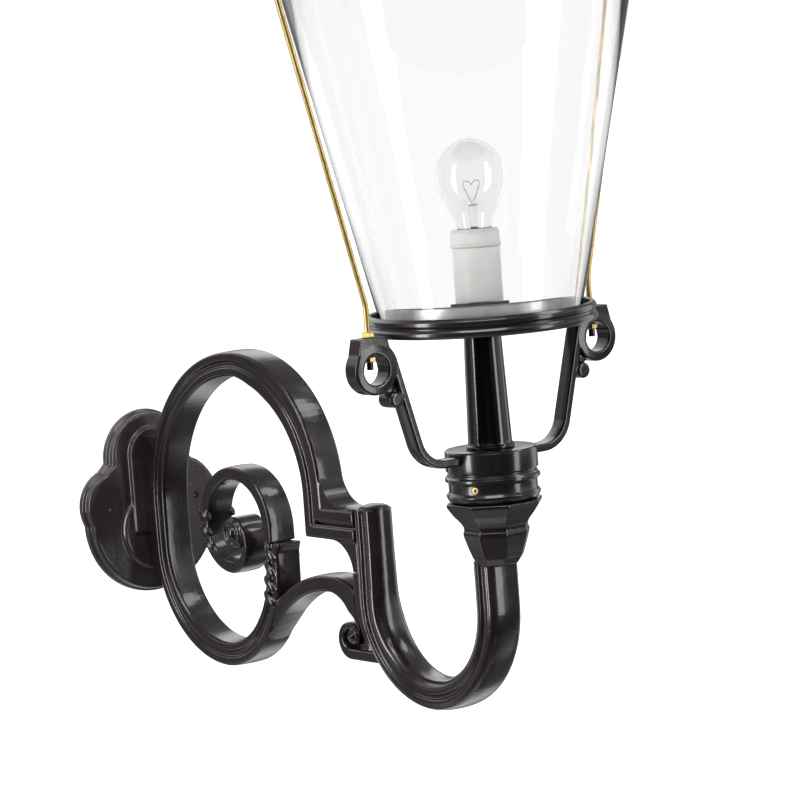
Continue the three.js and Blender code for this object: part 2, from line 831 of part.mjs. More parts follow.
// Centre tube and nipple
function centreTube() {
  const collarTop = tubeFoot + tubeCollarHeight;
  const bore = tubeHeadRadius - tubeWall;
  return turned([
    [bore, tubeFoot],
    [tubeCollarRadius, tubeFoot],
    [tubeCollarRadius, collarTop - tubeWall / 2],
    [tubeFootRadius + tubeWall / 2, collarTop],
    [tubeFootRadius, collarTop + tubeWall / 2],
    [tubeHeadRadius, tubeHead],
    [bore, tubeHead],
    [bore, tubeFoot],
  ]);
}

const nippleFoot = collarWebFoot - nippleTail;
const nippleTop = trayHead + nippleHead;

// Yoke arm on the +X side, with its eye, lug and knob
const eyeLevel = baseFoot - eyeDrop;
const lugTop = eyeLevel + lugRise;

function polar(centre, radius, degrees) {
  const angle = THREE.MathUtils.degToRad(degrees);
  return [centre[0] + radius * Math.cos(angle), centre[1] + radius * Math.sin(angle)];
}

const eyeMiddle = [eyeX, eyeLevel];
const knobMiddle = polar(eyeMiddle, knobReach, knobAngle);

// The bar runs out of the collar, bends up, leans outward and follows the eye's inner side
function yokeBar() {
  const lean = THREE.MathUtils.degToRad(yokeLeanAngle);
  const wrapRadius = eyeRadius - yokeEdge;
  const touchAngle = yokeLeanAngle + 90;
  const touch = polar(eyeMiddle, wrapRadius, touchAngle);
  const bendLevel = yokeLevel + yokeBendRadius;
  const rise = touch[1] - bendLevel + yokeBendRadius * Math.cos(lean);
  const bendEnd = [touch[0] - rise / Math.tan(lean), touch[1] - rise];
  const bendCentre = [bendEnd[0] - yokeBendRadius * Math.sin(lean), bendLevel];
  const depths = [yokeDepth, yokeDepth];
  return sweep(chain(
    linePath([yokeRoot, yokeLevel], [bendCentre[0], yokeLevel], 1, depths, yokeWidth),
    arcPath(bendCentre, yokeBendRadius, -90, yokeLeanAngle - 90, 6, depths, yokeWidth),
    linePath(bendEnd, touch, 1, depths, yokeWidth),
    arcPath(eyeMiddle, wrapRadius, touchAngle, touchAngle - yokeWrapAngle, 4, depths, yokeWidth),
  ), (station) => plainSection(station, yokeEdge), inYokePlane);
}

// Thin web between the eye, the bar and the knob
function yokeWeb() {
  const shape = new THREE.Shape();
  shape.moveTo(...polar(eyeMiddle, eyeRadius - yokeEdge, yokeLeanAngle + 90));
  shape.lineTo(...knobMiddle);
  shape.lineTo(...polar(eyeMiddle, (eyeRadius + eyeHoleRadius) / 2, knobAngle + webAngle));
  shape.closePath();
  return standing(shape, -yokeWidth / 4, yokeWidth / 4);
}

function yokeArm() {
  const eyeCentre = { x: eyeX, y: 0, z: eyeLevel };
  const half = yokeWidth / 2;
  const knob = { x: knobMiddle[0], y: 0, z: knobMiddle[1] };
  const outline = new THREE.Shape();
  outline.moveTo(eyeX - eyeRadius + yokeEdge, eyeLevel);
  outline.lineTo(eyeX + eyeRadius - yokeEdge, eyeLevel);
  outline.lineTo(eyeX + lugHalfWidth, lugTop);
  outline.lineTo(eyeX - lugHalfWidth, lugTop);
  outline.closePath();
  const lug = standing(outline, -half, half);
  const body = join(
    yokeBar(),
    yokeWeb(),
    crossRod(eyeRadius, yokeWidth, eyeCentre, mediumSides, true),
    crossRod(eyeRadius - yokeEdge, yokeWidth + 2 * yokeEdge, eyeCentre, mediumSides, true),
    lug,
    crossRod(knobRadius, knobWidth, knob, smallSides, true),
  );
  const rodHole = disc(rodRadius + seatGap, eyeLevel, lugTop + overrun, smallSides).translate(rodX, 0, 0);
  const clearOfBase = disc(baseRadius + seatGap, baseFoot - overrun, baseHead + overrun, largeSides);
  return cut(
    body,
    crossRod(eyeHoleRadius, yokeWidth * 2, eyeCentre, mediumSides, true),
    rodHole,
    clearOfBase,
  );
}

// Tie rods: upright in the lug, then bent outward beside the glass up to the top ring
const rodLean = Math.atan(rodTaper);
const rodBendFoot = lugTop + rodBendRise;
const rodBendHead = rodBendFoot + rodBendRadius * Math.sin(rodLean);
const rodBendX = rodX + rodBendRadius * (1 - Math.cos(rodLean));
const topLugX = rodBendX + rodTaper * (topRingHead - rodBendHead);

function tieRod() {
  const leanTurn = THREE.MathUtils.radToDeg(rodLean);
  const depths = [2 * rodRadius, 2 * rodRadius];
  const end = [topLugX + rodHead * Math.sin(rodLean), topRingHead + rodHead * Math.cos(rodLean)];
  const bendCentre = [rodX + rodBendRadius, rodBendFoot];
  return sweep(chain(
    linePath([rodX, lugTop - rodTail], [rodX, rodBendFoot], 1, depths, 0),
    arcPath(bendCentre, rodBendRadius, 180, 180 - leanTurn, 3, depths, 0),
    linePath([rodBendX, rodBendHead], end, 1, depths, 0),
  ), roundSection, inYokePlane);
}

function roundSection({ depth }) {
  return Array.from({ length: boltSides }, (_, i) => {
    const angle = (i * 2 * Math.PI) / boltSides;
    return [(depth / 2) * Math.cos(angle), (depth / 2) * Math.sin(angle)];
  });
}

// Puts a piece that is made upright at the origin onto the rod at the top of the top ring's lug
function onRodHead(geometry) {
  return geometry.rotateY(rodLean).translate(topLugX, 0, topRingHead);
}

// Base ring: a shallow dish with two rounded steps round its rim
const baseShares = [
  [0.955, 0], [0.988, 0.05], [1, 0.17], [1, 0.32], [0.985, 0.44], [0.967, 0.47], [0.967, 0.54],
  [0.992, 0.64], [0.992, 0.84], [0.968, 1],
];

function baseRing() {
  const bore = nippleRadius + seatGap;
  const outer = baseShares.map(([r, h]) => [r * baseRadius, baseFoot + h * baseHeight]);
  const inner = baseRadius - baseLip;
  return turned([
    [bore, baseFoot],
    ...outer,
    [inner, baseHead],
    [inner, baseFloorTop],
    [bore, baseFloorTop],
    [bore, baseFoot],
  ], largeSides);
}

// Base plate: a pressed tray turned upside down
function basePlate() {
  const bore = nippleRadius + seatGap;
  return turned([
    [bore, trayHead - trayWall],
    [trayRadius - trayWall, trayHead - trayWall],
    [trayRadius - trayWall, gasketFoot],
    [trayRadius, gasketFoot],
    [trayRadius, trayHead - trayWall],
    [trayRadius - trayWall, trayHead],
    [bore, trayHead],
    [bore, trayHead - trayWall],
  ], largeSides);
}

// Lantern glass
function lanternGlass() {
  const edge = glassWall / 4;
  return turned([
    [glassFootRadius - glassWall + edge, glassFoot],
    [glassFootRadius - edge, glassFoot],
    [glassFootRadius + glassTaper * edge, glassFoot + edge],
    [glassHeadRadius - glassTaper * edge, glassHead - edge],
    [glassHeadRadius - edge, glassHead],
    [glassHeadRadius - glassWall + edge, glassHead],
    [glassHeadRadius - glassWall - glassTaper * edge, glassHead - edge],
    [glassFootRadius - glassWall + glassTaper * edge, glassFoot + edge],
    [glassFootRadius - glassWall + edge, glassFoot],
  ], largeSides);
}

// Lamp holder
const padFoot = trayHead + seatGap;
const holderFoot = padFoot + holderPadDepth + seatGap;
const holderTop = holderFoot + holderHeight;
const holderRingFoot = holderTop + seatGap;
const holderRingHead = holderRingFoot + holderRingHeight;
const contactFoot = holderFoot + holderFloor + seatGap;
const shellFoot = contactFoot;
const nutRoom = nippleNutFlats / Math.sqrt(3) + 2 * seatGap;

function holderBody() {
  const wire = nippleBore;
  const nutTop = nippleTop + seatGap;
  return turned([
    [nutRoom, holderFoot],
    [holderRadius - seatGap, holderFoot],
    [holderRadius, holderFoot + holderPadDepth],
    [holderRadius, holderTop],
    [holderBore, holderTop],
    [holderBore, holderFoot + holderFloor],
    [wire, holderFoot + holderFloor],
    [wire, nutTop],
    [nutRoom, nutTop],
    [nutRoom, holderFoot],
  ]);
}

function holderRing() {
  const lip = holderRingHeight / 5;
  return turned([
    [holderBore, holderRingFoot],
    [holderRingRadius - lip / 2, holderRingFoot],
    [holderRingRadius, holderRingFoot + lip / 2],
    [holderRingRadius, holderRingHead - lip],
    [holderRingRadius - lip, holderRingHead],
    [holderBore, holderRingHead],
    [holderBore, holderRingFoot],
  ]);
}

// Bulb: cap with its thread, contact, glass, stem and filament
const bulbContactFoot = contactFoot + contactHeight + seatGap;
const capFoot = bulbContactFoot + contactHeight + seatGap;
const capHead = capFoot + capHeight;
const bulbFoot = capHead + seatGap;
const neckShare = (capRadius - seatGap) / bulbRadius;

function bulbCap() {
  const shoulder = capHeight / 8;
  const pitch = (capHeight - 2 * shoulder) / capThreads;
  const profile = [[0, capFoot], [capRadius / 2, capFoot], [capRadius - capThreadDepth, capFoot + shoulder]];
  for (let i = 0; i < capThreads; i += 1) {
    const foot = capFoot + shoulder + i * pitch;
    profile.push([capRadius, foot + pitch / 2], [capRadius - capThreadDepth, foot + pitch]);
  }
  profile.push([capRadius - capThreadDepth, capHead], [0, capHead]);
  return turned(profile, smallSides);
}

const neckRise = (holderRingHead - bulbFoot) / bulbHeight;
const globeShares = [
  [0.54, 0.075], [0.585, 0.165], [0.7, 0.24], [0.86, 0.357], [0.97, 0.476], [1, 0.583], [0.957, 0.702],
  [0.825, 0.815], [0.62, 0.905], [0.3, 0.976],
];
const bulbShares = [
  [neckShare, 0],
  [neckShare * 1.05, neckRise * 0.6],
  [neckShare * 1.12, neckRise],
  ...globeShares.map(([r, h]) => [r, neckRise + h * (1 - neckRise)]),
];

function bulbGlass() {
  const outer = bulbShares.map(([r, h]) => [r * bulbRadius, bulbFoot + h * bulbHeight]);
  const innerScale = (bulbRadius - bulbWall) / bulbRadius;
  const inner = bulbShares.map(([r, h]) => [
    r * bulbRadius * innerScale - bulbWall * (1 - r) * (1 - h),
    bulbFoot + h * (bulbHeight - bulbWall),
  ]).reverse();
  return turned([
    ...outer,
    [0, bulbFoot + bulbHeight],
    [0, bulbFoot + bulbHeight - bulbWall],
    ...inner,
    outer[0],
  ], smallSides);
}

function bulbStem() {
  const slim = stemRadius / 3;
  return turned([
    [0, bulbFoot],
    [stemRadius, bulbFoot],
    [stemRadius * 0.8, bulbFoot + stemHeight * 0.2],
    [slim, bulbFoot + stemHeight * 0.42],
    [slim, bulbFoot + stemHeight * 0.9],
    [slim * 1.5, bulbFoot + stemHeight * 0.95],
    [0, bulbFoot + stemHeight],
  ], smallSides);
}

function filament() {
  const foot = bulbFoot + stemHeight + seatGap;
  const head = foot + filamentHeight;
  const points = [
    [-filamentSpread / 8, foot], [-filamentSpread / 2, foot + filamentHeight / 3], [-filamentSpread, head],
    [-filamentSpread / 3, head + filamentRadius], [0, head - filamentSpread / 4],
    [filamentSpread / 3, head + filamentRadius], [filamentSpread, head],
    [filamentSpread / 2, foot + filamentHeight / 3], [filamentSpread / 8, foot],
  ].map(([x, z]) => new THREE.Vector3(x, 0, z));
  const section = new THREE.Shape();
  section.absarc(0, 0, filamentRadius, 0, Math.PI * 2);
  return new THREE.ExtrudeGeometry(section, {
    steps: 20,
    curveSegments: 3,
    extrudePath: new THREE.CatmullRomCurve3(points),
  });
}

// Top ring with lugs for the rods, the hood's screw and the hinge
const hingeY = topRingRadius + hingeOffset;
const hingeZ = topRingHead + hingeRise;
const screwY = -hingeY;

function topRing() {
  const skirtFoot = topRingFoot - topSkirt;
  const skirtInner = topRingRadius - topSkirtWall;
  const body = turned([
    [topRingInner, topRingFoot],
    [skirtInner, topRingFoot],
    [skirtInner, skirtFoot],
    [topRingRadius, skirtFoot],
    [topRingRadius, topRingHead],
    [topRingInner, topRingHead],
    [topRingInner, topRingFoot],
  ], largeSides);
  const lugInner = topRingRadius - topSkirtWall / 2;
  const lugOuter = topLugX + topLugOverhang;
  const rodLugs = [-1, 1].map((side) => {
    const ends = [side * lugInner, side * lugOuter].sort((a, b) => a - b);
    return block([ends[0], -topLugHalfWidth, topRingFoot], [ends[1], topLugHalfWidth, topRingHead]);
  });
  const screwLug = block(
    [-topLugHalfWidth, screwY - topLugOverhang, topRingFoot],
    [topLugHalfWidth, -lugInner, topRingHead],
  );
  const hingeArm = block([-ringKnuckle / 2, lugInner, topRingFoot], [ringKnuckle / 2, hingeY, hingeZ]);
  const knuckle = crossRod(hingeRadius, ringKnuckle, { x: 0, y: hingeY, z: hingeZ });
  const rodHole = onRodHead(disc(rodRadius + seatGap, -topSkirt, topSkirt, smallSides));
  const otherRodHole = rodHole.clone().rotateZ(Math.PI);
  const screwHole = disc(screwRadius + 2 * seatGap, topRingFoot - overrun, topRingHead + overrun, smallSides)
    .translate(0, screwY, 0);
  const pinHole = crossRod(
    hingePinRadius + seatGap / 2,
    ringKnuckle + overrun,
    { x: 0, y: hingeY, z: hingeZ },
  );
  const whole = join(body, ...rodLugs, screwLug, hingeArm, knuckle);
  return cut(whole, rodHole, otherRodHole, screwHole, pinHole);
}

// Hood: a swept roof with an inner skirt that stands on the top ring
const hoodFoot = topRingHead + hoodLift;
const hoodShares = [
  [1, 0.03], [0.93, 0.09], [0.84, 0.18], [0.68, 0.38], [0.5, 0.64], [0.36, 0.88], [0.3, 1],
];

// Height of the roof's upper face at a distance from the axis
function roofLevel(radius) {
  const share = radius / hoodRadius;
  const inner = hoodShares.findIndex(([r]) => r <= share);
  const [r0, h0] = hoodShares[inner - 1];
  const [r1, h1] = hoodShares[inner];
  return hoodFoot + hoodHeight * (h0 + ((h1 - h0) * (r0 - share)) / (r0 - r1));
}

const screwSeat = roofLevel(hingeY - screwBossRadius);

function hood() {
  const outer = hoodShares.map(([r, h]) => [r * hoodRadius, hoodFoot + h * hoodHeight]);
  const head = hoodFoot + hoodHeight;
  const inner = hoodShares.slice(1, -1)
    .map(([r, h]) => [r * hoodRadius - hoodWall / 2, hoodFoot + h * hoodHeight - hoodWall])
    .reverse();
  const skirtHead = roofLevel(hoodSkirtRadius) - hoodWall;
  const before = inner.filter(([r]) => r < hoodSkirtRadius);
  const after = inner.filter(([r]) => r > hoodSkirtRadius);
  const skirtFoot = topRingHead + seatGap;
  const shell = turned([
    [hoodRadius, hoodFoot],
    ...outer,
    [hoodMouth, head],
    [hoodMouth, head - hoodWall],
    ...before,
    [hoodSkirtRadius - hoodWall, skirtHead],
    [hoodSkirtRadius - hoodWall, skirtFoot],
    [hoodSkirtRadius, skirtFoot],
    [hoodSkirtRadius, skirtHead - hoodWall],
    ...after,
    [hoodRadius - hoodWall, hoodFoot],
    [hoodRadius, hoodFoot],
  ], largeSides);
  const knuckleX = ringKnuckle / 2 + seatGap + hoodKnuckle / 2;
  const hinge = [-1, 1].flatMap((side) => {
    const x = side * knuckleX;
    return [
      crossRod(hingeRadius, hoodKnuckle, { x, y: hingeY, z: hingeZ }),
      block(
        [x - hoodKnuckle / 2, hingeY - hingeRadius, hingeZ],
        [x + hoodKnuckle / 2, hingeY + hingeRadius / 2, roofLevel(hingeY + hingeRadius / 2) - hoodWall / 4],
      ),
    ];
  });
  const bossEdge = hingeY + screwBossRadius;
  const boss = disc(screwBossRadius, roofLevel(bossEdge) - hoodWall / 2, screwSeat, smallSides)
    .translate(0, screwY, 0);
  const screwHole = disc(screwRadius + seatGap, topRingHead, head, smallSides).translate(0, screwY, 0);
  const pinHole = crossRod(
    hingePinRadius + seatGap / 2,
    2 * knuckleX + 2 * hoodKnuckle,
    { x: 0, y: hingeY, z: hingeZ },
  );
  return cut(join(shell, ...hinge, boss), screwHole, pinHole);
}

// Knurled screw that holds the hood down
function hoodScrew() {
  const seat = screwSeat + seatGap;
  const foot = topRingFoot + seatGap;
  return turned([
    [0, foot],
    [screwRadius, foot],
    [screwRadius, seat],
    [screwHeadRadius, seat],
    [screwHeadRadius, seat + screwHeadHeight * 0.8],
    [screwHeadRadius * 0.8, seat + screwHeadHeight],
    [0, seat + screwHeadHeight],
  ], smallSides).translate(0, screwY, 0);
}

// Vent chimney, vent cap and finial
const chimneyFoot = hoodFoot + hoodHeight + seatGap;
const chimneyHead = chimneyFoot + chimneyHeight;
const ventCapFoot = chimneyHead + seatGap;
const finialFoot = ventCapFoot + ventCapHeight + seatGap;

function ventChimney() {
  const flangeHead = chimneyFoot + chimneyWall;
  const inner = chimneyRadius - chimneyWall;
  const body = turned([
    [inner, chimneyFoot],
    [chimneyFlange, chimneyFoot],
    [chimneyFlange, flangeHead],
    [chimneyRadius, flangeHead],
    [chimneyRadius, chimneyHead],
    [inner, chimneyHead],
    [inner, chimneyFoot],
  ], mediumSides);
  const slots = Array.from({ length: ventSlots }, (_, i) => block(
    [inner / 2, -ventSlotWidth / 2, flangeHead + chimneyWall],
    [chimneyFlange, ventSlotWidth / 2, chimneyHead - chimneyWall],
  ).rotateZ((i * 2 * Math.PI) / ventSlots));
  return cut(body, ...slots);
}

const ventCapShares = [
  [1, 0], [1, 0.12], [0.88, 0.22], [0.62, 0.42], [0.38, 0.66], [0.24, 0.88], [0.2, 1],
];

function ventCap() {
  const outer = ventCapShares.map(([r, h]) => [r * ventCapRadius, ventCapFoot + h * ventCapHeight]);
  const inner = ventCapRadius - 2 * hoodWall;
  return turned([
    [0, ventCapFoot + hoodWall],
    [chimneyRadius - chimneyWall, ventCapFoot + hoodWall],
    [chimneyRadius - chimneyWall, ventCapFoot],
    [chimneyRadius, ventCapFoot],
    [chimneyRadius, ventCapFoot + hoodWall],
    [inner, ventCapFoot + hoodWall],
    [inner, ventCapFoot],
    ...outer,
    [0, ventCapFoot + ventCapHeight],
  ], mediumSides);
}

const finialShares = [
  [0.9, 0], [0.9, 0.07], [0.5, 0.13], [0.42, 0.22], [0.75, 0.27], [0.97, 0.36], [1, 0.43],
  [0.95, 0.52], [0.72, 0.61], [0.42, 0.67], [0.3, 0.72], [0.34, 0.77], [0.22, 0.86], [0.1, 0.96],
];

function finial() {
  const outer = finialShares.map(([r, h]) => [r * finialRadius, finialFoot + h * finialHeight]);
  return turned([[0, finialFoot], ...outer, [0, finialFoot + finialHeight]], smallSides);
}

// Scene graph
const lanternBracket = new THREE.Group();
const lantern = new THREE.Group();
lantern.position.set(0, -reach, 0);
lanternBracket.add(lantern);

function add(parent, name, geometry, finish) {
  const mesh = new THREE.Mesh(tidy(geometry), new THREE.MeshStandardMaterial(finishes[finish]));
  mesh.name = name;
  parent.add(mesh);
  return mesh;
}

add(lanternBracket, 'wall_plate', wallPlate(), 'enamel');
add(lanternBracket, 'big_scroll', bigScroll(), 'enamel');
add(lanternBracket, 'inner_scroll', innerScroll(), 'enamel');
add(lanternBracket, 'j_arm', jArm(), 'enamel');

add(lantern, 'collar', collar(), 'enamel');
grubAngles().forEach((angle, i) => {
  const screw = add(lantern, `grub_screw_${i + 1}`, grubScrew(), 'brass');
  const middle = (grubInner + grubOuter) / 2;
  screw.rotation.z = angle;
  screw.position.set(middle * Math.cos(angle), middle * Math.sin(angle), collarFoot + grubHeight);
});
add(lantern, 'centre_tube', centreTube(), 'black');
add(lantern, 'nipple', ring(nippleRadius, nippleBore, nippleFoot, nippleTop, smallSides), 'steel');
add(lantern, 'nipple_nut_lower', hexNut(
  nippleNutFlats,
  nippleRadius + seatGap,
  collarWebFoot - seatGap - nippleNutHeight,
  nippleNutHeight,
), 'steel');
add(lantern, 'nipple_nut_upper', hexNut(
  nippleNutFlats,
  nippleRadius + seatGap,
  trayHead + seatGap,
  nippleNutHeight,
), 'steel');

add(lantern, 'base_ring', baseRing(), 'enamel');
add(lantern, 'base_plate', basePlate(), 'tray');
add(lantern, 'base_gasket', ring(
  baseRadius - baseLip - seatGap,
  trayRadius + seatGap,
  gasketFoot,
  gasketFoot + gasketDepth,
  largeSides,
), 'rubber');
add(lantern, 'lantern_glass', lanternGlass(), 'glass');
add(lantern, 'top_gasket', ring(
  glassHeadRadius,
  glassHeadRadius - glassWall,
  topGasketFoot,
  topGasketFoot + gasketDepth,
  largeSides,
), 'rubber');
add(lantern, 'top_ring', topRing(), 'enamel');

add(lantern, 'holder_pad', ring(holderPadRadius, nutRoom, padFoot, padFoot + holderPadDepth), 'rubber');
add(lantern, 'holder_body', holderBody(), 'porcelain');
add(lantern, 'holder_ring', holderRing(), 'porcelain');
add(lantern, 'holder_shell', ring(
  holderBore - seatGap,
  holderBore - seatGap - shellWall,
  shellFoot,
  shellFoot + shellHeight,
), 'brass');
for (const [name, foot] of [['holder_contact', contactFoot], ['bulb_contact', bulbContactFoot]]) {
  add(lantern, name, disc(contactRadius, foot, foot + contactHeight, smallSides), 'brass');
}
add(lantern, 'bulb_cap', bulbCap(), 'brass');
add(lantern, 'bulb_glass', bulbGlass(), 'glass');
add(lantern, 'bulb_stem', bulbStem(), 'glass');
add(lantern, 'bulb_filament', filament(), 'steel');

// Each side's yoke arm, rod and nuts; the left side is the right one turned about the axis
for (const [side, turn] of [['right', 0], ['left', Math.PI]]) {
  const half = new THREE.Group();
  half.rotation.z = turn;
  lantern.add(half);
  add(half, `yoke_arm_${side}`, yokeArm(), 'enamel');
  const nutBore = rodRadius + seatGap;
  const eyeArch = Math.sqrt(eyeHoleRadius ** 2 - (rodNutFlats / Math.sqrt(3) + rodX - eyeX) ** 2);
  const upperNut = hexNut(rodNutFlats, nutBore, lugTop + seatGap, rodNutHeight);
  const lowerFoot = eyeLevel + eyeArch - 2 * seatGap - rodNutHeight;
  const lowerNut = hexNut(rodNutFlats, nutBore, lowerFoot, rodNutHeight);
  add(half, `tie_rod_${side}`, tieRod(), 'brass');
  add(half, `lug_nut_${side}`, upperNut.translate(rodX, 0, 0), 'brass');
  add(half, `eye_nut_${side}`, lowerNut.translate(rodX, 0, 0), 'brass');
  add(half, `cap_nut_${side}`, onRodHead(capNut(2 * seatGap + (rodNutFlats / 2) * rodTaper)), 'brass');
}

function capNut(foot) {
  const body = hexNut(rodNutFlats, rodRadius + seatGap, foot, rodNutHeight);
  const head = foot + capNutHeight;
  const dome = turned([
    [rodRadius + seatGap, foot + rodNutHeight / 2],
    [rodNutFlats / 2, foot + rodNutHeight / 2],
    [rodNutFlats / 2, head - rodNutFlats / 2],
    [rodNutFlats / 3, head - rodNutFlats / 6],
    [0, head],
    [0, head - seatGap * 2],
    [rodRadius + seatGap, head - rodNutFlats / 3],
    [rodRadius + seatGap, foot + rodNutHeight / 2],
  ], boltSides);
  return join(body, dome);
}

const pinLength = ringKnuckle + 2 * (seatGap + hoodKnuckle);
add(lantern, 'hinge_pin', crossRod(hingePinRadius, pinLength, { x: 0, y: hingeY, z: hingeZ }), 'brass');
add(lantern, 'hood', hood(), 'enamel');
add(lantern, 'hood_screw', hoodScrew(), 'brass');
add(lantern, 'vent_chimney', ventChimney(), 'enamel');
add(lantern, 'vent_cap', ventCap(), 'enamel');
add(lantern, 'finial', finial(), 'enamel');

export default lanternBracket;
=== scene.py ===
"""Looks of a round wall lantern on a scrolled cast bracket. Sizes are in millimetres unless a name says otherwise."""

import json
import math

import bmesh
import bpy
from mathutils import Euler, Matrix, Vector

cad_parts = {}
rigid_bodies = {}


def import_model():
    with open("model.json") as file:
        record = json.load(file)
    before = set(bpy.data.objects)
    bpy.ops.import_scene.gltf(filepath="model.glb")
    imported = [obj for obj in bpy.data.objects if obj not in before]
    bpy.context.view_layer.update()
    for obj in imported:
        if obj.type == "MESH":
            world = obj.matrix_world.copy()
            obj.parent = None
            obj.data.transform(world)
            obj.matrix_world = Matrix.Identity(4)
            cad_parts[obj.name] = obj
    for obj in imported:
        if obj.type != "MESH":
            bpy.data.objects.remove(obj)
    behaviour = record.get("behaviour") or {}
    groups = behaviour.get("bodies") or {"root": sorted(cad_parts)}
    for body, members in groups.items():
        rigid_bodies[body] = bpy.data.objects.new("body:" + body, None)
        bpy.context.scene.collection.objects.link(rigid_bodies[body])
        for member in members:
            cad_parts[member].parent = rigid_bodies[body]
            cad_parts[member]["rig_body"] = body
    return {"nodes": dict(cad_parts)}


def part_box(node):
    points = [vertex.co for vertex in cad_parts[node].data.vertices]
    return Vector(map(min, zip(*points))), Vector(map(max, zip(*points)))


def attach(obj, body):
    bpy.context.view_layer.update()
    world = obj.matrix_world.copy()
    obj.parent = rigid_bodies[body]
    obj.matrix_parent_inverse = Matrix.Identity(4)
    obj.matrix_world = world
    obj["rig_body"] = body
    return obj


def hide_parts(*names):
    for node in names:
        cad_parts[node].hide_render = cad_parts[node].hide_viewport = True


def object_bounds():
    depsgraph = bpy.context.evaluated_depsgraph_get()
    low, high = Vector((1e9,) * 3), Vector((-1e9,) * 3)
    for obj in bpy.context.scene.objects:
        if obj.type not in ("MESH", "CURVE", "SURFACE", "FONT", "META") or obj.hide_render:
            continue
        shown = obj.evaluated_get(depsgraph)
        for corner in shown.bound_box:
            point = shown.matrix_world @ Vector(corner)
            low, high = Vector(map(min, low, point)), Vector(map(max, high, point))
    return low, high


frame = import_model()
cad_low, cad_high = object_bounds()
scene = bpy.context.scene

MM = 0.001  # metres in a millimetre


def extent(node):
    """Foot, head and radius of an upright round node."""
    low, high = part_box(node)
    return low.z / MM, high.z / MM, (high.x - low.x) / 2 / MM


# Fineness
ARC_STEP = 3  # degrees between a band's stations
ROUND_SIDES = 128
SMALL_SIDES = 48
FILLET_STEPS = 3
GRAIN_SHARE = 1.0

# Bracket
reach = -(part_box("lantern_glass")[0].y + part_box("lantern_glass")[1].y) / 2 / MM
plate_depth = 15
plate_tier_depth = 8
plate_tier_inset = 3
plate_round = 2.4
crown_lobe = (0, 44, 46)
side_lobe = (41, 2, 36)
body_lobe = (0, -14, 73)
boss_depth = 21.5
boss_half_width = 26
boss_top = 47
boss_foot = -26
boss_foot_radius = 38
plate_hole_spacing = 98
plate_hole_radius = 3.2

seat_gap = 0.3
band_width = 30
band_depth = 22.6
band_edge = 2.6
band_crown = 0.4
groove_width = 6.4
groove_depth = 2.6
crown_radius = 141
shoulder_radius = 113
shoulder_growths = (0, 4.5, 6.5, 6.5, 6, 5, 4)
back_straight = 38
foot_radius = 97
hook_radius = 80
hook_straight = 31
husk_depth = 25
husk_neck_depth = 19
husk_width = 33
husk_head_width = 27
husk_lean = 4.5
husk_run = 24
step_depth = 28
step_corner_fill = 30
step_ramp_height = 48
step_ramp_dip = 8
web_width = 24
web_top = 66
web_span = 8.2
brace_depth = 15
brace_root_depth = 20
brace_width = 27
brace_slope = 39
brace_straight = 55
brace_radius = 122
brace_end_radius = 45
brace_end_turn = 50
brace_end_depth = 9

inner_depth = 12
inner_width = 29
inner_rise = 12
inner_radius = 50
inner_side_radius = 39
inner_foot_radius = 24
inner_eye_radius = 15.5
inner_eye_turn = 60
inner_eye_rise = 8

arm_radius = 85.5
arm_setback = 5
arm_top = 16.5
arm_turn = -58.5
arm_strip_depth = 10.5
arm_strip_width = 27
arm_strip_top = -42
socket_rim_height = 35
socket_height = 55
socket_rim_radius = 43
spigot_radius = 29.5
spigot_height = 29
arm_wide = 35.5
arm_crown = 4.4
arm_top_dome = 5
curl_radius = 13
curl_depth = 10
curl_width = 29
curl_offset = 20
curl_height = -104
curl_eye_radius = 8

# Yoke
yoke_width = 16
yoke_depth = 7
yoke_root = 27
yoke_bend_radius = 28
yoke_lean = 74.5
yoke_wrap = 50
eye_x = 121
eye_radius = 21.5
eye_hole_radius = 13
eye_drop = 22
lug_half_width = 13.5
lug_rise = 27
knob_radius = 7
knob_width = 19
knob_reach = 33
knob_angle = 236
collar_web_depth = 14
collar_lid_depth = 3
base_rim = 6.5
base_floor = 8

# Brass
rod_radius = 2.5
rod_nut_flats = 9
cap_nut_height = 11


# Meshes: each shape is a list of corners and a list of faces
def turned(profile, sides=ROUND_SIDES, centre=None, along_y=False, phase=0.0):
    """A profile of (radius, height) points turned about an axis; it closes when its ends are the same point."""
    cx, cy = centre if centre is not None else (0, -reach)
    closed = profile[0] == profile[-1]
    points = profile[:-1] if closed else profile
    verts, rows, faces = [], [], []
    for radius, height in points:
        count = 1 if radius < 1e-6 else sides
        rows.append(list(range(len(verts), len(verts) + count)))
        for i in range(count):
            angle = phase + 2 * math.pi * i / sides
            a, b = radius * math.cos(angle), radius * math.sin(angle)
            verts.append((cx + a, -height, cy + b) if along_y else (cx + a, cy + b, height))
    pairs = list(zip(rows, rows[1:] + rows[:1]))
    for lower, upper in pairs if closed else pairs[:-1]:
        for i in range(sides):
            j = (i + 1) % sides
            corners = [lower[i % len(lower)], lower[j % len(lower)], upper[j % len(upper)], upper[i % len(upper)]]
            face = [c for k, c in enumerate(corners) if c != corners[k - 1]]
            if len(face) > 2:
                faces.append(face)
    return verts, faces


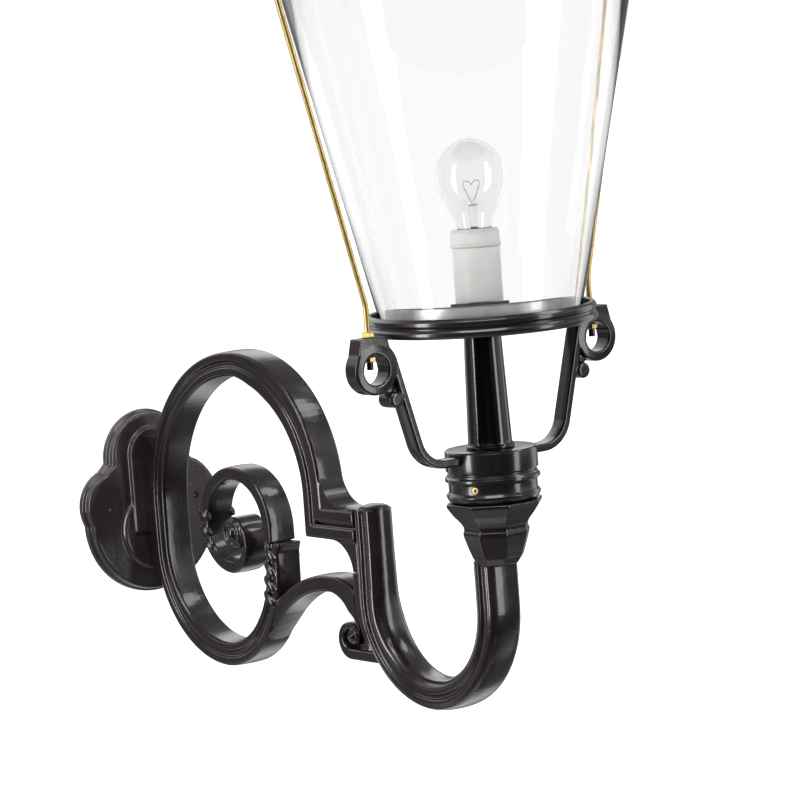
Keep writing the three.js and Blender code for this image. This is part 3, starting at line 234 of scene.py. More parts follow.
def rounded(profile, fillet):
    """The profile with its corners rounded; a closed one has the same first and last point."""
    closed = profile[0] == profile[-1]
    points = profile[:-1] if closed else profile
    made = []
    for i, point in enumerate(points):
        if not closed and i in (0, len(points) - 1):
            made.append(point)
            continue
        here = Vector(point)
        before, after = Vector(points[i - 1]) - here, Vector(points[(i + 1) % len(points)]) - here
        if before.length < 1e-6 or after.length < 1e-6:
            continue
        bend = before.angle(after)
        if bend > math.radians(172):
            made.append(point)
            continue
        room = min(fillet / math.tan(bend / 2), before.length * 0.45, after.length * 0.45)
        start, end = here + before.normalized() * room, here + after.normalized() * room
        for k in range(FILLET_STEPS + 1):
            t = k / FILLET_STEPS
            made.append(tuple(start * (1 - t) ** 2 + here * 2 * t * (1 - t) + end * t**2))
    if closed:
        made.append(made[0])
    return made


def prism(outline, low, high, place):
    """An outline in a plane, carried from low to high across it."""
    count = len(outline)
    verts = [place(a, b, low) for a, b in outline] + [place(a, b, high) for a, b in outline]
    sides = [(i, (i + 1) % count, (i + 1) % count + count, i + count) for i in range(count)]
    return verts, sides + [tuple(range(count)), tuple(range(count, 2 * count))]


def block(low, high):
    outline = [(low[0], low[1]), (high[0], low[1]), (high[0], high[1]), (low[0], high[1])]
    return prism(outline, low[2], high[2], lambda a, b, c: (a, b, c))


def ball(centre, radii, turn=(0, 0, 0), rings=12, sides=20):
    """An ellipsoid; turn is in degrees."""
    spin = Euler([math.radians(t) for t in turn]).to_matrix()
    profile = [(math.sin(math.pi * i / rings), -math.cos(math.pi * i / rings)) for i in range(rings + 1)]
    profile[0], profile[-1] = (0, -1), (0, 1)
    verts, faces = turned(profile, sides, (0, 0))
    placed = [spin @ Vector([v[k] * radii[k] for k in range(3)]) + Vector(centre) for v in verts]
    return [tuple(v) for v in placed], faces


def in_bracket(u, v, side):
    return side, -u, v


def in_yoke(u, v, side):
    return u, side, v


def mix(pair, share):
    return pair[0] + (pair[1] - pair[0]) * share


def arc(centre, radius, start, end, depths, width):
    """Stations (u, v, normal u, normal v, stretch, depth, width) round an arc, in degrees."""
    steps = max(3, round(abs(end - start) / ARC_STEP))
    turn = math.copysign(1, end - start)
    made = []
    for i in range(steps + 1):
        angle = math.radians(mix((start, end), i / steps))
        c, s = math.cos(angle), math.sin(angle)
        depth = mix(depths, i / steps)
        made.append((centre[0] + radius * c, centre[1] + radius * s, c * turn, s * turn, 1, depth, width))
    return made


def line(start, end, depths, width, steps=6):
    length = math.dist(start, end)
    du, dv = (end[0] - start[0]) / length, (end[1] - start[1]) / length
    made = []
    for i in range(steps + 1):
        t = i / steps
        u, v = mix((start[0], end[0]), t), mix((start[1], end[1]), t)
        made.append((u, v, dv, -du, 1, mix(depths, t), width))
    return made


def chain(*stretches):
    stations = list(stretches[0])
    for stretch in stretches[1:]:
        stations += stretch[1:]
    return stations


def thickened(stations, growths):
    """The stations with more depth on the side that their normals point to, even steps of growth along them."""
    made = []
    for i, (u, v, nu, nv, stretch, depth, width) in enumerate(stations):
        place = i / (len(stations) - 1) * (len(growths) - 1)
        first = min(int(place), len(growths) - 2)
        growth = mix(growths[first:first + 2], place - first)
        made.append((u + nu * growth / 2, v + nv * growth / 2, nu, nv, stretch, depth + growth, width))
    return made


def eased(stations, run, width, lean):
    """The stations, led over the first `run` of them from another width and place back to their own."""
    made = []
    for i, (u, v, nu, nv, stretch, depth, own) in enumerate(stations):
        share = max(0, 1 - i / run)
        made.append((u + lean * share, v, nu, nv, stretch, depth, mix((own, width), share)))
    return made


def spread(stations, first, last, width):
    """The stations, led to another width between two of them and kept at it from there on."""
    made = []
    for i, (*place, own) in enumerate(stations):
        share = min(1, max(0, (i - first) / (last - first)))
        made.append((*place, mix((own, width), share)))
    return made


def around(quarter):
    """A whole section from the quarter of it that runs from its face's middle to its side."""
    half = quarter + [(-a, b) for a, b in reversed(quarter) if a > 1e-6]
    return half + [(a, -b) for a, b in reversed(half[1:-1])]


def cast_section(depth, width):
    h, w, g, e = depth / 2, width / 2, groove_width / 2, band_edge
    edge = [(h - e + e * math.cos(a), w - e + e * math.sin(a)) for a in (0.3, 0.8, 1.3)]
    crown = [(h + band_crown, 0), (h + 0.8 * band_crown, 0.4 * w), (h + 0.2 * band_crown, 0.75 * w)]
    groove = [(g + 0.9, w), (g, w - 0.5), (0.6 * g, w - groove_depth), (0, w - groove_depth)]
    return around([*crown, (h, w - e), *edge, (h - e, w), *groove])


def arm_section(depth, width):
    """A full round inner face down to a thin bead, a side with a thin groove, and a flatter outer face."""
    h, w = depth / 2, width / 2
    face = [(h + arm_crown, 0), (h + 0.96 * arm_crown, 0.2 * w), (h + 0.84 * arm_crown, 0.4 * w),
            (h + 0.6 * arm_crown, 0.6 * w), (h + 0.2 * arm_crown, 0.78 * w), (h - 0.3 * arm_crown, 0.91 * w),
            (h - 0.75 * arm_crown, 0.965 * w)]
    bead = [(h - 4.2, 0.955 * w), (h - 4.9, w - 0.1), (h - 5.9, w), (h - 7.2, w)]
    groove = [(2.9, w), (2.3, w - 0.6), (1.3, w - 2.3), (0, w - 2.8)]
    return [(min(d, mix((h, d), 0.4)), x) for d, x in around([*face, *bead, *groove])]


def plain_section(edge, crown=0.0):
    def section(depth, width):
        h, w = depth / 2, width / 2
        corner = [(h - edge + edge * math.cos(a), w - edge + edge * math.sin(a)) for a in (0.4, 0.8, 1.2)]
        return around([(h + crown, 0), (h + crown * 0.8, w * 0.4), (h, w - edge), *corner, (h - edge, w)])

    return section


def round_section(depth, _width):
    sides = 24
    return [(depth / 2 * math.cos(2 * math.pi * i / sides), depth / 2 * math.sin(2 * math.pi * i / sides))
            for i in range(sides)]


def sweep(stations, section_of, place):
    verts, faces = [], []
    sections = [section_of(s[5], s[6]) for s in stations]
    count = len(sections[0])
    for (u, v, nu, nv, stretch, _, _), section in zip(stations, sections):
        verts += [place(u + nu * a * stretch, v + nv * a * stretch, b) for a, b in section]
    for i in range(len(stations) - 1):
        for j in range(count):
            a, b = i * count + j, i * count + (j + 1) % count
            faces.append((a, b, b + count, a + count))
    last = (len(stations) - 1) * count
    faces += [tuple(range(count)), tuple(range(last, last + count))]
    return verts, faces


# Pieces
def mesh_of(name, shapes, scale=MM):
    verts, faces = [], []
    for corners, sides in shapes:
        faces += [tuple(len(verts) + i for i in face) for face in sides]
        verts += [tuple(c * scale for c in corner) for corner in corners]
    mesh = bpy.data.meshes.new(name)
    mesh.from_pydata(verts, [], faces)
    work = bmesh.new()
    work.from_mesh(mesh)
    bmesh.ops.recalc_face_normals(work, faces=work.faces)
    work.to_mesh(mesh)
    work.free()
    return mesh


def show(node, mesh, material, sharp=38):
    """A fine piece in the place of a node: it rides on the node's body."""
    piece = bpy.data.objects.new(node + "_fine", mesh)
    scene.collection.objects.link(piece)
    mesh.shade_smooth()
    mesh.set_sharp_from_angle(angle=math.radians(sharp))
    mesh.materials.clear()
    mesh.materials.append(material)
    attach(piece, frame["nodes"][node]["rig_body"])
    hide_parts(node)
    return piece


def settled(mesh, modifiers):
    """The mesh after modifiers, each given as (kind, settings)."""
    holder = bpy.data.objects.new(mesh.name, mesh)
    scene.collection.objects.link(holder)
    for kind, settings in modifiers:
        modifier = holder.modifiers.new(kind.lower(), kind)
        for key, value in settings.items():
            setattr(modifier, key, value)
    graph = bpy.context.evaluated_depsgraph_get()
    made = bpy.data.meshes.new_from_object(holder.evaluated_get(graph))
    bpy.data.objects.remove(holder)
    return made


def cut_by(mesh, shapes):
    """The mesh less some shapes."""
    tool = bpy.data.objects.new("tool", mesh_of("tool", shapes))
    scene.collection.objects.link(tool)
    made = settled(mesh, [("BOOLEAN", {"operation": "DIFFERENCE", "object": tool, "solver": "EXACT"})])
    bpy.data.objects.remove(tool)
    return made


def cast_mesh(name, shapes, grain, passes):
    """Shapes melted into one casting with soft edges and fillets."""
    return settled(mesh_of(name, shapes), [
        ("REMESH", {"mode": "VOXEL", "voxel_size": grain * GRAIN_SHARE * MM}),
        ("SMOOTH", {"factor": 0.5, "iterations": passes}),
    ])


# Materials
def put(tree, kind, values=None, links=None, **settings):
    made = tree.nodes.new(kind)
    for key, value in settings.items():
        setattr(made, key, value)
    for key, value in (values or {}).items():
        made.inputs[key].default_value = value
    for key, socket in (links or {}).items():
        tree.links.new(socket, made.inputs[key])
    return made


def finish_of(name, base, roughness, **sockets):
    """A material with its even values set on the shader itself."""
    material = bpy.data.materials.new(name)
    material.use_nodes = True
    tree = material.node_tree
    shader = tree.nodes["Principled BSDF"]
    shader.inputs["Base Color"].default_value = (*base, 1)
    shader.inputs["Roughness"].default_value = roughness
    for key, value in sockets.items():
        shader.inputs[key.replace("_", " ")].default_value = value
    place = put(tree, "ShaderNodeTexCoord").outputs["Object"]
    return material, tree, shader, place


def mottle(tree, place, scale, detail=3.0, stretch=(1, 1, 1)):
    moved = put(tree, "ShaderNodeMapping", {"Scale": stretch}, {"Vector": place})
    noise = put(tree, "ShaderNodeTexNoise", {"Scale": scale, "Detail": detail}, {"Vector": moved.outputs[0]})
    return noise.outputs["Fac"]


def ranged(tree, source, low, high):
    return put(tree, "ShaderNodeMapRange", {"To Min": low, "To Max": high}, {"Value": source}).outputs[0]


def tinted(tree, shader, source, dark, light):
    ramp = put(tree, "ShaderNodeValToRGB", links={"Fac": source})
    ramp.color_ramp.elements[0].position, ramp.color_ramp.elements[1].position = 0.35, 0.65
    ramp.color_ramp.elements[0].color, ramp.color_ramp.elements[1].color = (*dark, 1), (*light, 1)
    tree.links.new(ramp.outputs["Color"], shader.inputs["Base Color"])


def bumped(tree, shader, layers):
    """Bump from layers of (height, depth in metres)."""
    normal = None
    for height, depth in layers:
        links = {"Height": height} if normal is None else {"Height": height, "Normal": normal}
        normal = put(tree, "ShaderNodeBump", {"Distance": depth, "Strength": 1.0}, links).outputs["Normal"]
    tree.links.new(normal, shader.inputs["Normal"])


def enamel(name, dark, light, low, high, wave):
    """Glossy stove enamel over a casting: faint waves of the casting under a fine orange peel."""
    material, tree, shader, place = finish_of(name, light, low, Coat_Weight=0.5, Coat_Roughness=0.07)
    tinted(tree, shader, mottle(tree, place, 22), dark, light)
    tree.links.new(ranged(tree, mottle(tree, place, 70), low, high), shader.inputs["Roughness"])
    bumped(tree, shader, [(mottle(tree, place, 55, 2), wave * MM), (mottle(tree, place, 600, 1), 0.003 * MM)])
    return material


def brass_finish(name):
    material, tree, shader, place = finish_of(name, (0.72, 0.54, 0.2), 0.4, Metallic=1.0)
    tinted(tree, shader, mottle(tree, place, 120), (0.66, 0.49, 0.17), (0.80, 0.62, 0.27))
    tree.links.new(ranged(tree, mottle(tree, place, 90), 0.34, 0.48), shader.inputs["Roughness"])
    bumped(tree, shader, [(mottle(tree, place, 130, 1), 0.01 * MM)])
    return material


def porcelain_finish(name):
    material, tree, shader, place = finish_of(name, (0.87, 0.86, 0.83), 0.3, Subsurface_Weight=0.12,
                                              Subsurface_Scale=0.004)
    tinted(tree, shader, mottle(tree, place, 60), (0.92, 0.905, 0.88), (0.97, 0.96, 0.945))
    tree.links.new(ranged(tree, mottle(tree, place, 160), 0.24, 0.4), shader.inputs["Roughness"])
    bumped(tree, shader, [(mottle(tree, place, 500), 0.015 * MM)])
    return material


def glass_finish(name, tint, wave):
    material, tree, shader, place = finish_of(name, tint, 0.0, Transmission_Weight=1.0, IOR=1.47)
    tree.links.new(ranged(tree, mottle(tree, place, 14), 0.0, 0.012), shader.inputs["Roughness"])
    bumped(tree, shader, [(mottle(tree, place, 9, 1, (1, 1, 0.25)), wave * MM)])
    return material


def metal_finish(name, dark, light, low, high):
    material, tree, shader, place = finish_of(name, light, low, Metallic=1.0)
    tinted(tree, shader, mottle(tree, place, 50), dark, light)
    tree.links.new(ranged(tree, mottle(tree, place, 200, 4), low, high), shader.inputs["Roughness"])
    bumped(tree, shader, [(mottle(tree, place, 700, 4), 0.01 * MM)])
    return material


def rubber_finish(name):
    material, tree, shader, place = finish_of(name, (0.02, 0.02, 0.02), 0.65)
    tinted(tree, shader, mottle(tree, place, 90), (0.013, 0.013, 0.013), (0.03, 0.03, 0.03))
    tree.links.new(ranged(tree, mottle(tree, place, 400), 0.55, 0.8), shader.inputs["Roughness"])
    bumped(tree, shader, [(mottle(tree, place, 1200), 0.03 * MM)])
    return material


enamel_cast = enamel("enamel_cast", (0.0115, 0.0075, 0.0080), (0.0205, 0.0138, 0.0148), 0.16, 0.26, 0.42)
# The wall plate is the same dark cast enamel as the scroll; this copy's lighter base colour is painted light, standing
# in for the light that falls on the plate's face.
plate_enamel_painted_light = enamel("plate_enamel_painted_light", (0.034, 0.0265, 0.0280), (0.058, 0.046, 0.048), 0.2, 0.32, 0.42)
enamel_smooth = enamel("enamel_smooth", (0.012, 0.0095, 0.0100), (0.020, 0.0155, 0.0165), 0.17, 0.27, 0.08)
tube_black = enamel("tube_black", (0.003, 0.0025, 0.0025), (0.005, 0.0042, 0.0042), 0.1, 0.18, 0.06)
brass = brass_finish("brass_polished")
porcelain = porcelain_finish("porcelain_white")
lantern_clear = glass_finish("lantern_clear", (0.994, 0.995, 0.994), 0.3)
bulb_clear = glass_finish("bulb_clear", (0.965, 0.965, 0.965), 0.02)
filament_wire = metal_finish("filament_wire", (0.8, 0.8, 0.8), (0.93, 0.93, 0.93), 0.45, 0.6)
tray_metal = metal_finish("tray_metal", (0.34, 0.34, 0.34), (0.5, 0.5, 0.5), 0.34, 0.48)
steel = metal_finish("steel_plain", (0.4, 0.4, 0.4), (0.6, 0.6, 0.6), 0.25, 0.4)
rubber = rubber_finish("rubber_black")


# Wall plate
def lobe(x, z, radius, depth, inset=0.0):
    r = radius - inset
    profile = rounded([(0, 0), (r, 0), (r, depth), (0, depth)], plate_round)
    return turned(profile, 96, (x, z), along_y=True)


def wall_plate():
    shapes = []
    for x, z, radius in (crown_lobe, side_lobe, (-side_lobe[0], *side_lobe[1:]), body_lobe):
        shapes.append(lobe(x, z, radius, plate_tier_depth))
        shapes.append(lobe(x, z, radius, plate_depth, plate_tier_inset))
    arch = [(boss_half_width * math.cos(a), boss_top + boss_half_width * math.sin(a))
            for a in (math.pi * i / 32 for i in range(33))]
    outline = [(boss_half_width, boss_foot), *arch, (-boss_half_width, boss_foot)]
    shapes.append(prism(outline, 0, boss_depth, lambda a, b, c: (a, -c, b)))
    shapes.append(lobe(0, boss_foot, boss_foot_radius, (plate_depth + boss_depth) / 2))
    mesh = cast_mesh("wall_plate", shapes, 0.9, 5)
    holes = [turned([(0, -2), (plate_hole_radius, -2), (plate_hole_radius, 2 * plate_depth), (0, 2 * plate_depth)],
                    SMALL_SIDES, (side * plate_hole_spacing / 2, 0), along_y=True) for side in (-1, 1)]
    return cut_by(mesh, holes)


# Places that the castings share
back_line = boss_depth + seat_gap + web_span + band_depth / 2 + 0.7
crown_centre = (back_line + crown_radius, 0)
shoulder_centre = (crown_centre[0], crown_radius - shoulder_radius)
shoulder_line = shoulder_centre[0] + shoulder_radius
foot_centre = (back_line + foot_radius, -back_straight)
hook_centre = (foot_centre[0], foot_centre[1] - foot_radius + hook_radius)
hook_line = hook_centre[0] + hook_radius
hook_top = hook_centre[1] + hook_straight
arm_end = reach - arm_setback
arm_line = arm_end - 2 * arm_radius
step_end = arm_line - band_depth / 2 - 0.7 - seat_gap
step_foot = -step_depth / 2


def leaf(root, tip, width, lift, half=None):
    """A lobe of a cast leaf lying on a band's side, from root to tip in the bracket's plane."""
    u, v = (root[0] + tip[0]) / 2, (root[1] + tip[1]) / 2
    lean = math.degrees(math.atan2(tip[1] - root[1], -(tip[0] - root[0])))
    made = []
    for side in (-1, 1):
        radii = (lift, math.dist(root, tip) / 2, width / 2)
        made.append(ball((side * ((half or band_width / 2) - 0.3), -u, v), radii, (lean, 0, 0)))
    return made


def big_scroll():
    band = chain(
        line((hook_line, hook_top), (hook_line, hook_top - hook_straight / 4), (husk_depth, husk_neck_depth),
             husk_width),
        line((hook_line, hook_top - hook_straight / 4), (hook_line, hook_centre[1]),
             (husk_neck_depth, husk_neck_depth), band_width),
        arc(hook_centre, hook_radius, 0, -90, (husk_neck_depth, band_depth), band_width),
    )
    band = chain(
        eased(band, husk_run, husk_head_width, husk_lean),
        arc(foot_centre, foot_radius, -90, -180, (band_depth, band_depth), band_width),
        line((back_line, -back_straight), (back_line, 0), (band_depth, band_depth), band_width),
        arc(crown_centre, crown_radius, 180, 90, (band_depth, band_depth), band_width),
        thickened(arc(shoulder_centre, shoulder_radius, 90, 0, (band_depth, band_depth), band_width),
                  shoulder_growths),
    )
    last = shoulder_growths[-1]
    corner = (shoulder_line - last / 2, 0, -math.sqrt(0.5), -math.sqrt(0.5), math.sqrt(2),
              (band_depth + last + step_depth) / 2, band_width)
    tread = line((shoulder_line + step_depth, 0), (step_end, 0), (step_depth, step_depth), band_width)
    slope = math.radians(brace_slope)
    root = (hook_centre[0] + hook_radius * math.sin(slope), hook_centre[1] - hook_radius * math.cos(slope))
    knee = (root[0] + brace_straight * math.cos(slope), root[1] + brace_straight * math.sin(slope))
    over = (knee[0] + brace_radius * math.sin(slope), knee[1] - brace_radius * math.cos(slope))
    end_centre = (over[0], over[1] + brace_radius - brace_end_radius)
    brace = chain(
        line(root, knee, (brace_root_depth, brace_depth), brace_width),
        arc(over, brace_radius, 90 + brace_slope, 90, (brace_depth, brace_depth), brace_width),
        arc(end_centre, brace_end_radius, 90, 90 - brace_end_turn, (brace_depth, band_depth), brace_width),
        arc(end_centre, brace_end_radius, 90 - brace_end_turn, 8, (band_depth, brace_end_depth), brace_width),
    )
    ramp_start = shoulder_line + band_depth / 2 - band_edge
    ramp = [(ramp_start - band_edge, 0), (ramp_start - band_edge, step_ramp_height), (ramp_start, step_ramp_height)]
    for i in range(1, 13):
        t = i / 12
        u = (1 - t) ** 2 * ramp_start + 2 * t * (1 - t) * (ramp_start + step_ramp_dip) + t**2 * step_end
        v = (1 - t) ** 2 * step_ramp_height + 2 * t * (1 - t) * step_ramp_dip + t**2 * arm_top
        ramp.append((u, v))
    ramp.append((step_end, 0))
    fill_end = arm_line - band_depth / 2 - arm_strip_depth + 1.5
    fill = [(step_end, step_foot + band_edge), (fill_end - step_corner_fill, step_foot + band_edge)]
    for i in range(13):
        a = math.pi / 2 * (1 - i / 12)
        fill.append((fill_end - step_corner_fill * (1 - math.cos(a)), step_foot - step_corner_fill * (1 - math.sin(a))))
    fill.append((step_end, step_foot - step_corner_fill))
    half = (band_width - band_edge) / 2
    shapes = [
        sweep([*band, corner, *tread], cast_section, in_bracket),
        sweep(brace, plain_section(band_edge, 0.5), in_bracket),
        prism(ramp, -half, half, in_bracket),
        prism(fill, -half + band_edge / 2, half - band_edge / 2, in_bracket),
        block((-web_width / 2, -back_line - band_edge, boss_foot - boss_foot_radius),
              (web_width / 2, -boss_depth - seat_gap, web_top)),
    ]
    mesh = cast_mesh("big_scroll", shapes + husk_leaves(), 0.85, 4)
    beyond = block((-band_width, -reach, -crown_radius), (band_width, -step_end, crown_radius))
    creases = [block((side * 10.5 - 3.5, 0.5 - step_end, -1.3), (side * 10.5 + 3.5, 1 - shoulder_line, 1.7))
               for side in (-1, 1)]
    return cut_by(cut_by(mesh, [beyond, *creases]), [arm_strip(2 * seat_gap)])


def husk_leaves():
    """Leaf lobes down the husk's sides, each leaning over the next."""
    shapes = []
    for i in range(4):
        v = hook_top - 10 - 14 * i
        u = hook_line + husk_lean - 2 - 1.4 * i
        shapes += leaf((u + 7.5, v - 7), (u - 7.5, v + 7), 8, 4.2, husk_head_width / 2 + 0.4 * i)
    return shapes


def inner_scroll():
    centre = (hook_line - inner_radius, hook_top + inner_rise)
    side = (centre[0] - inner_radius + inner_side_radius, centre[1])
    foot = (side[0], side[1] - inner_side_radius + inner_foot_radius)
    tip_depth = inner_depth / 2
    tip = (foot[0] + inner_foot_radius - inner_eye_radius, foot[1])
    depths = (inner_depth, inner_depth)
    stations = chain(
        line((hook_line, hook_top + seat_gap), (hook_line, centre[1]), depths, inner_width),
        arc(centre, inner_radius, 0, 180, depths, inner_width),
        arc(side, inner_side_radius, 180, 270, depths, inner_width),
        arc(foot, inner_foot_radius, 270, 360, (inner_depth, tip_depth), inner_width),
        arc(tip, inner_eye_radius, 0, inner_eye_turn, (tip_depth, tip_depth), inner_width),
    )
    eye = (tip[0] - tip_depth / 2, tip[1] + inner_eye_rise)
    shapes = [sweep(stations, plain_section(2, 0.6), in_bracket), *rosette(eye, inner_eye_radius, inner_width)]
    for turn in (166, 188, 210):
        a = math.radians(turn)
        at = (side[0] + inner_side_radius * math.cos(a), side[1] + inner_side_radius * math.sin(a))
        shapes += leaf((at[0] - 7, at[1] + 5), (at[0] + 8, at[1] - 5), 7.5, 4.6, inner_width / 2)
    return cast_mesh("inner_scroll", shapes, 0.75, 4)


def rosette(eye, radius, width):
    """A scroll's eye: a drum with a domed button and small knobs on each end."""
    profile = rounded([(0, -width / 2), (radius, -width / 2), (radius, width / 2), (0, width / 2)], 2)
    drum = turned(profile, SMALL_SIDES, (0, 0))
    shapes = [([(z, -eye[0] + x, eye[1] + y) for x, y, z in drum[0]], drum[1])]
    for side in (-1, 1):
        x = side * width / 2
        shapes.append(ball((x, -eye[0], eye[1]), (4.2, radius * 0.32, radius * 0.44)))
        for i in range(20):
            a = 2 * math.pi * i / 20
            at = (x, -eye[0] + 0.72 * radius * math.cos(a), eye[1] + 0.72 * radius * math.sin(a))
            shapes.append(ball(at, (2.4, radius * 0.17, radius * 0.17)))
    return shapes


def arm_strip(room=0.0):
    along = arm_line - (band_depth + arm_strip_depth) / 2 + 1.5
    turn_centre = (arm_line + arm_radius, arm_turn)
    radius = turn_centre[0] - along
    end_turn = math.degrees(math.asin((arm_turn - curl_height) / radius))
    depths = (arm_strip_depth + 2 * room,) * 2
    width = arm_strip_width + 2 * room
    return sweep(chain(
        line((along, arm_strip_top + room), (along, arm_turn), depths, width),
        arc(turn_centre, radius, 180, 180 + end_turn, depths, width),
    ), plain_section(1.6), in_bracket)


socket_shares = ((0.42, 0), (0.53, 0.11), (0.62, 0.3), (0.69, 0.47), (0.7, 0.53), (0.67, 0.55), (0.68, 0.62),
                 (0.75, 0.7), (0.87, 0.8), (1, 0.95), (1, 1))


def j_arm():
    turn_centre = (arm_line + arm_radius, arm_turn)
    depths = (band_depth, band_depth)
    socket_foot = socket_rim_height - socket_height
    band = chain(
        line((arm_line, arm_top), (arm_line, arm_turn), depths, band_width),
        arc(turn_centre, arm_radius, 180, 360, depths, band_width),
        line((arm_end, arm_turn), (arm_end, socket_foot + band_edge), depths, band_width),
    )
    band = spread(band, 3, 12, arm_wide)
    curl_centre = (arm_line - band_depth / 2 - curl_offset, curl_height)
    curl_foot = curl_centre[1] - curl_radius
    curl = chain(
        arc(curl_centre, curl_radius, 20, 270, (curl_depth / 2, curl_depth), curl_width),
        line((curl_centre[0], curl_foot), (arm_line + band_depth, curl_foot), (curl_depth, curl_depth), curl_width),
    )
    eye = (curl_centre[0] + curl_eye_radius, curl_centre[1] + curl_eye_radius / 2)
    cup = [(0, socket_foot)]
    cup += [(r * socket_rim_radius, socket_foot + h * socket_height) for r, h in socket_shares]
    cup.append((0, socket_rim_height))
    spigot_head = socket_rim_height + spigot_height
    spigot = [(0, socket_rim_height - 3), (spigot_radius, socket_rim_height - 3), (spigot_radius, spigot_head),
              (0, spigot_head)]
    shapes = [
        sweep(band, arm_section, in_bracket),
        ball((0, -arm_line - arm_crown / 2, arm_top - 0.5),
             (0.97 * band_width / 2, (band_depth + arm_crown) / 2, arm_top_dome)),
        arm_strip(),
        sweep(curl, plain_section(2), in_bracket),
        *rosette(eye, curl_eye_radius, curl_width + 1),
        turned(cup, 8, phase=math.pi / 8),
        turned(spigot, 64),
    ]
    seat = block((-band_width, -step_end - seat_gap, arm_strip_top + seat_gap),
                 (band_width, -step_end + band_depth, arm_top + band_edge))
    return cut_by(cast_mesh("j_arm", shapes, 0.8, 4), [seat])


# Lantern's foot
collar_foot, collar_head, _ = extent("collar")
collar_radius = 40
collar_shares = ((0.92, 0), (0.98, 0.05), (1.01, 0.1), (1.02, 0.14), (0.98, 0.19), (0.96, 0.2), (0.96, 0.37),
                 (1.03, 0.42), (1.03, 0.47), (0.98, 0.51), (0.98, 0.54), (0.94, 0.55), (0.94, 0.58), (1, 0.6),
                 (1, 0.97), (0.97, 1))
yoke_level = collar_head - collar_web_depth + yoke_depth
grub_names = [node for node in frame["nodes"] if node.startswith("grub_screw")]


def collar():
    height = collar_head - collar_foot
    bore, web = spigot_radius + seat_gap, collar_head - collar_web_depth
    core = 6
    outer = [(r * collar_radius, collar_foot + h * height) for r, h in collar_shares]
    profile = [(bore, collar_foot), *outer, (core, collar_head), (core, web), (bore, web), (bore, collar_foot)]
    mesh = mesh_of("collar", [turned(rounded(profile, 0.8))])
    tools = []
    for side in (-1, 1):
        ends = sorted((side * (yoke_root - seat_gap), side * (collar_radius + 4)))
        tools.append(block((ends[0], -reach - yoke_width / 2 - seat_gap, yoke_level - yoke_depth / 2 - seat_gap),
                           (ends[1], -reach + yoke_width / 2 + seat_gap, collar_head - collar_lid_depth)))
    for name in grub_names:
        low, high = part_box(name)
        middle = (low + high) / 2 / MM
        out = Vector((middle.x, middle.y + reach, 0)).normalized()
        tools.append(rod_shape(Vector((0, -reach, middle.z)) + out * spigot_radius, out, 2 * collar_radius, 3.3))
    return cut_by(mesh, tools)


def rod_shape(start, along, length, radius, sides=SMALL_SIDES, profile=None):
    """A round bar from a point along a direction, or a profile of (radius, distance) turned about it."""
    shape = turned(profile or [(0, 0), (radius, 0), (radius, length), (0, length)], sides, (0, 0))
    turn = Vector((0, 0, 1)).rotation_difference(Vector(along)).to_matrix()
    return [tuple(turn @ Vector(v) + Vector(start)) for v in shape[0]], shape[1]


def grub_screw(name):
    low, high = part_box(name)
    middle = (low + high) / 2 / MM
    out = Vector((middle.x, middle.y + reach, 0)).normalized()
    inner, outer = spigot_radius + 2 * seat_gap, collar_radius * 0.96 - seat_gap
    start = Vector((0, -reach, middle.z)) + out * inner
    length = outer - inner
    profile = rounded([(0, 0), (3, 0), (3, length), (0, length)], 0.4)
    mesh = mesh_of(name, [rod_shape(start, out, length, 3, profile=profile)])
    key = [(0, length - 3), (1.7, length - 3), (1.7, length + 1), (0, length + 1)]
    return cut_by(mesh, [rod_shape(start, out, 0, 0, 6, key)])


def centre_tube():
    foot, head, _ = extent("centre_tube")
    profile = [(12, foot), (21, foot), (21, foot + 1.8), (19.6, foot + 3.4), (19, foot + 5.5), (16, head), (12, head),
               (12, foot)]
    return mesh_of("centre_tube", [turned(rounded(profile, 0.9))])


base_foot, base_head, base_radius = extent("base_ring")
base_shares = ((0.955, 0), (0.988, 0.05), (1, 0.17), (1, 0.32), (0.985, 0.44), (0.967, 0.47), (0.967, 0.54),
               (0.992, 0.64), (0.992, 0.84), (0.968, 1))


def base_ring():
    height = base_head - base_foot
    outer = [(r * base_radius, base_foot + h * height) for r, h in base_shares]
    inner, floor = base_radius - base_rim, base_foot + base_floor
    profile = [(6, base_foot), *outer, (inner, base_head), (inner, floor), (6, floor), (6, base_foot)]
    return mesh_of("base_ring", [turned(rounded(profile, 1.1), 192)])


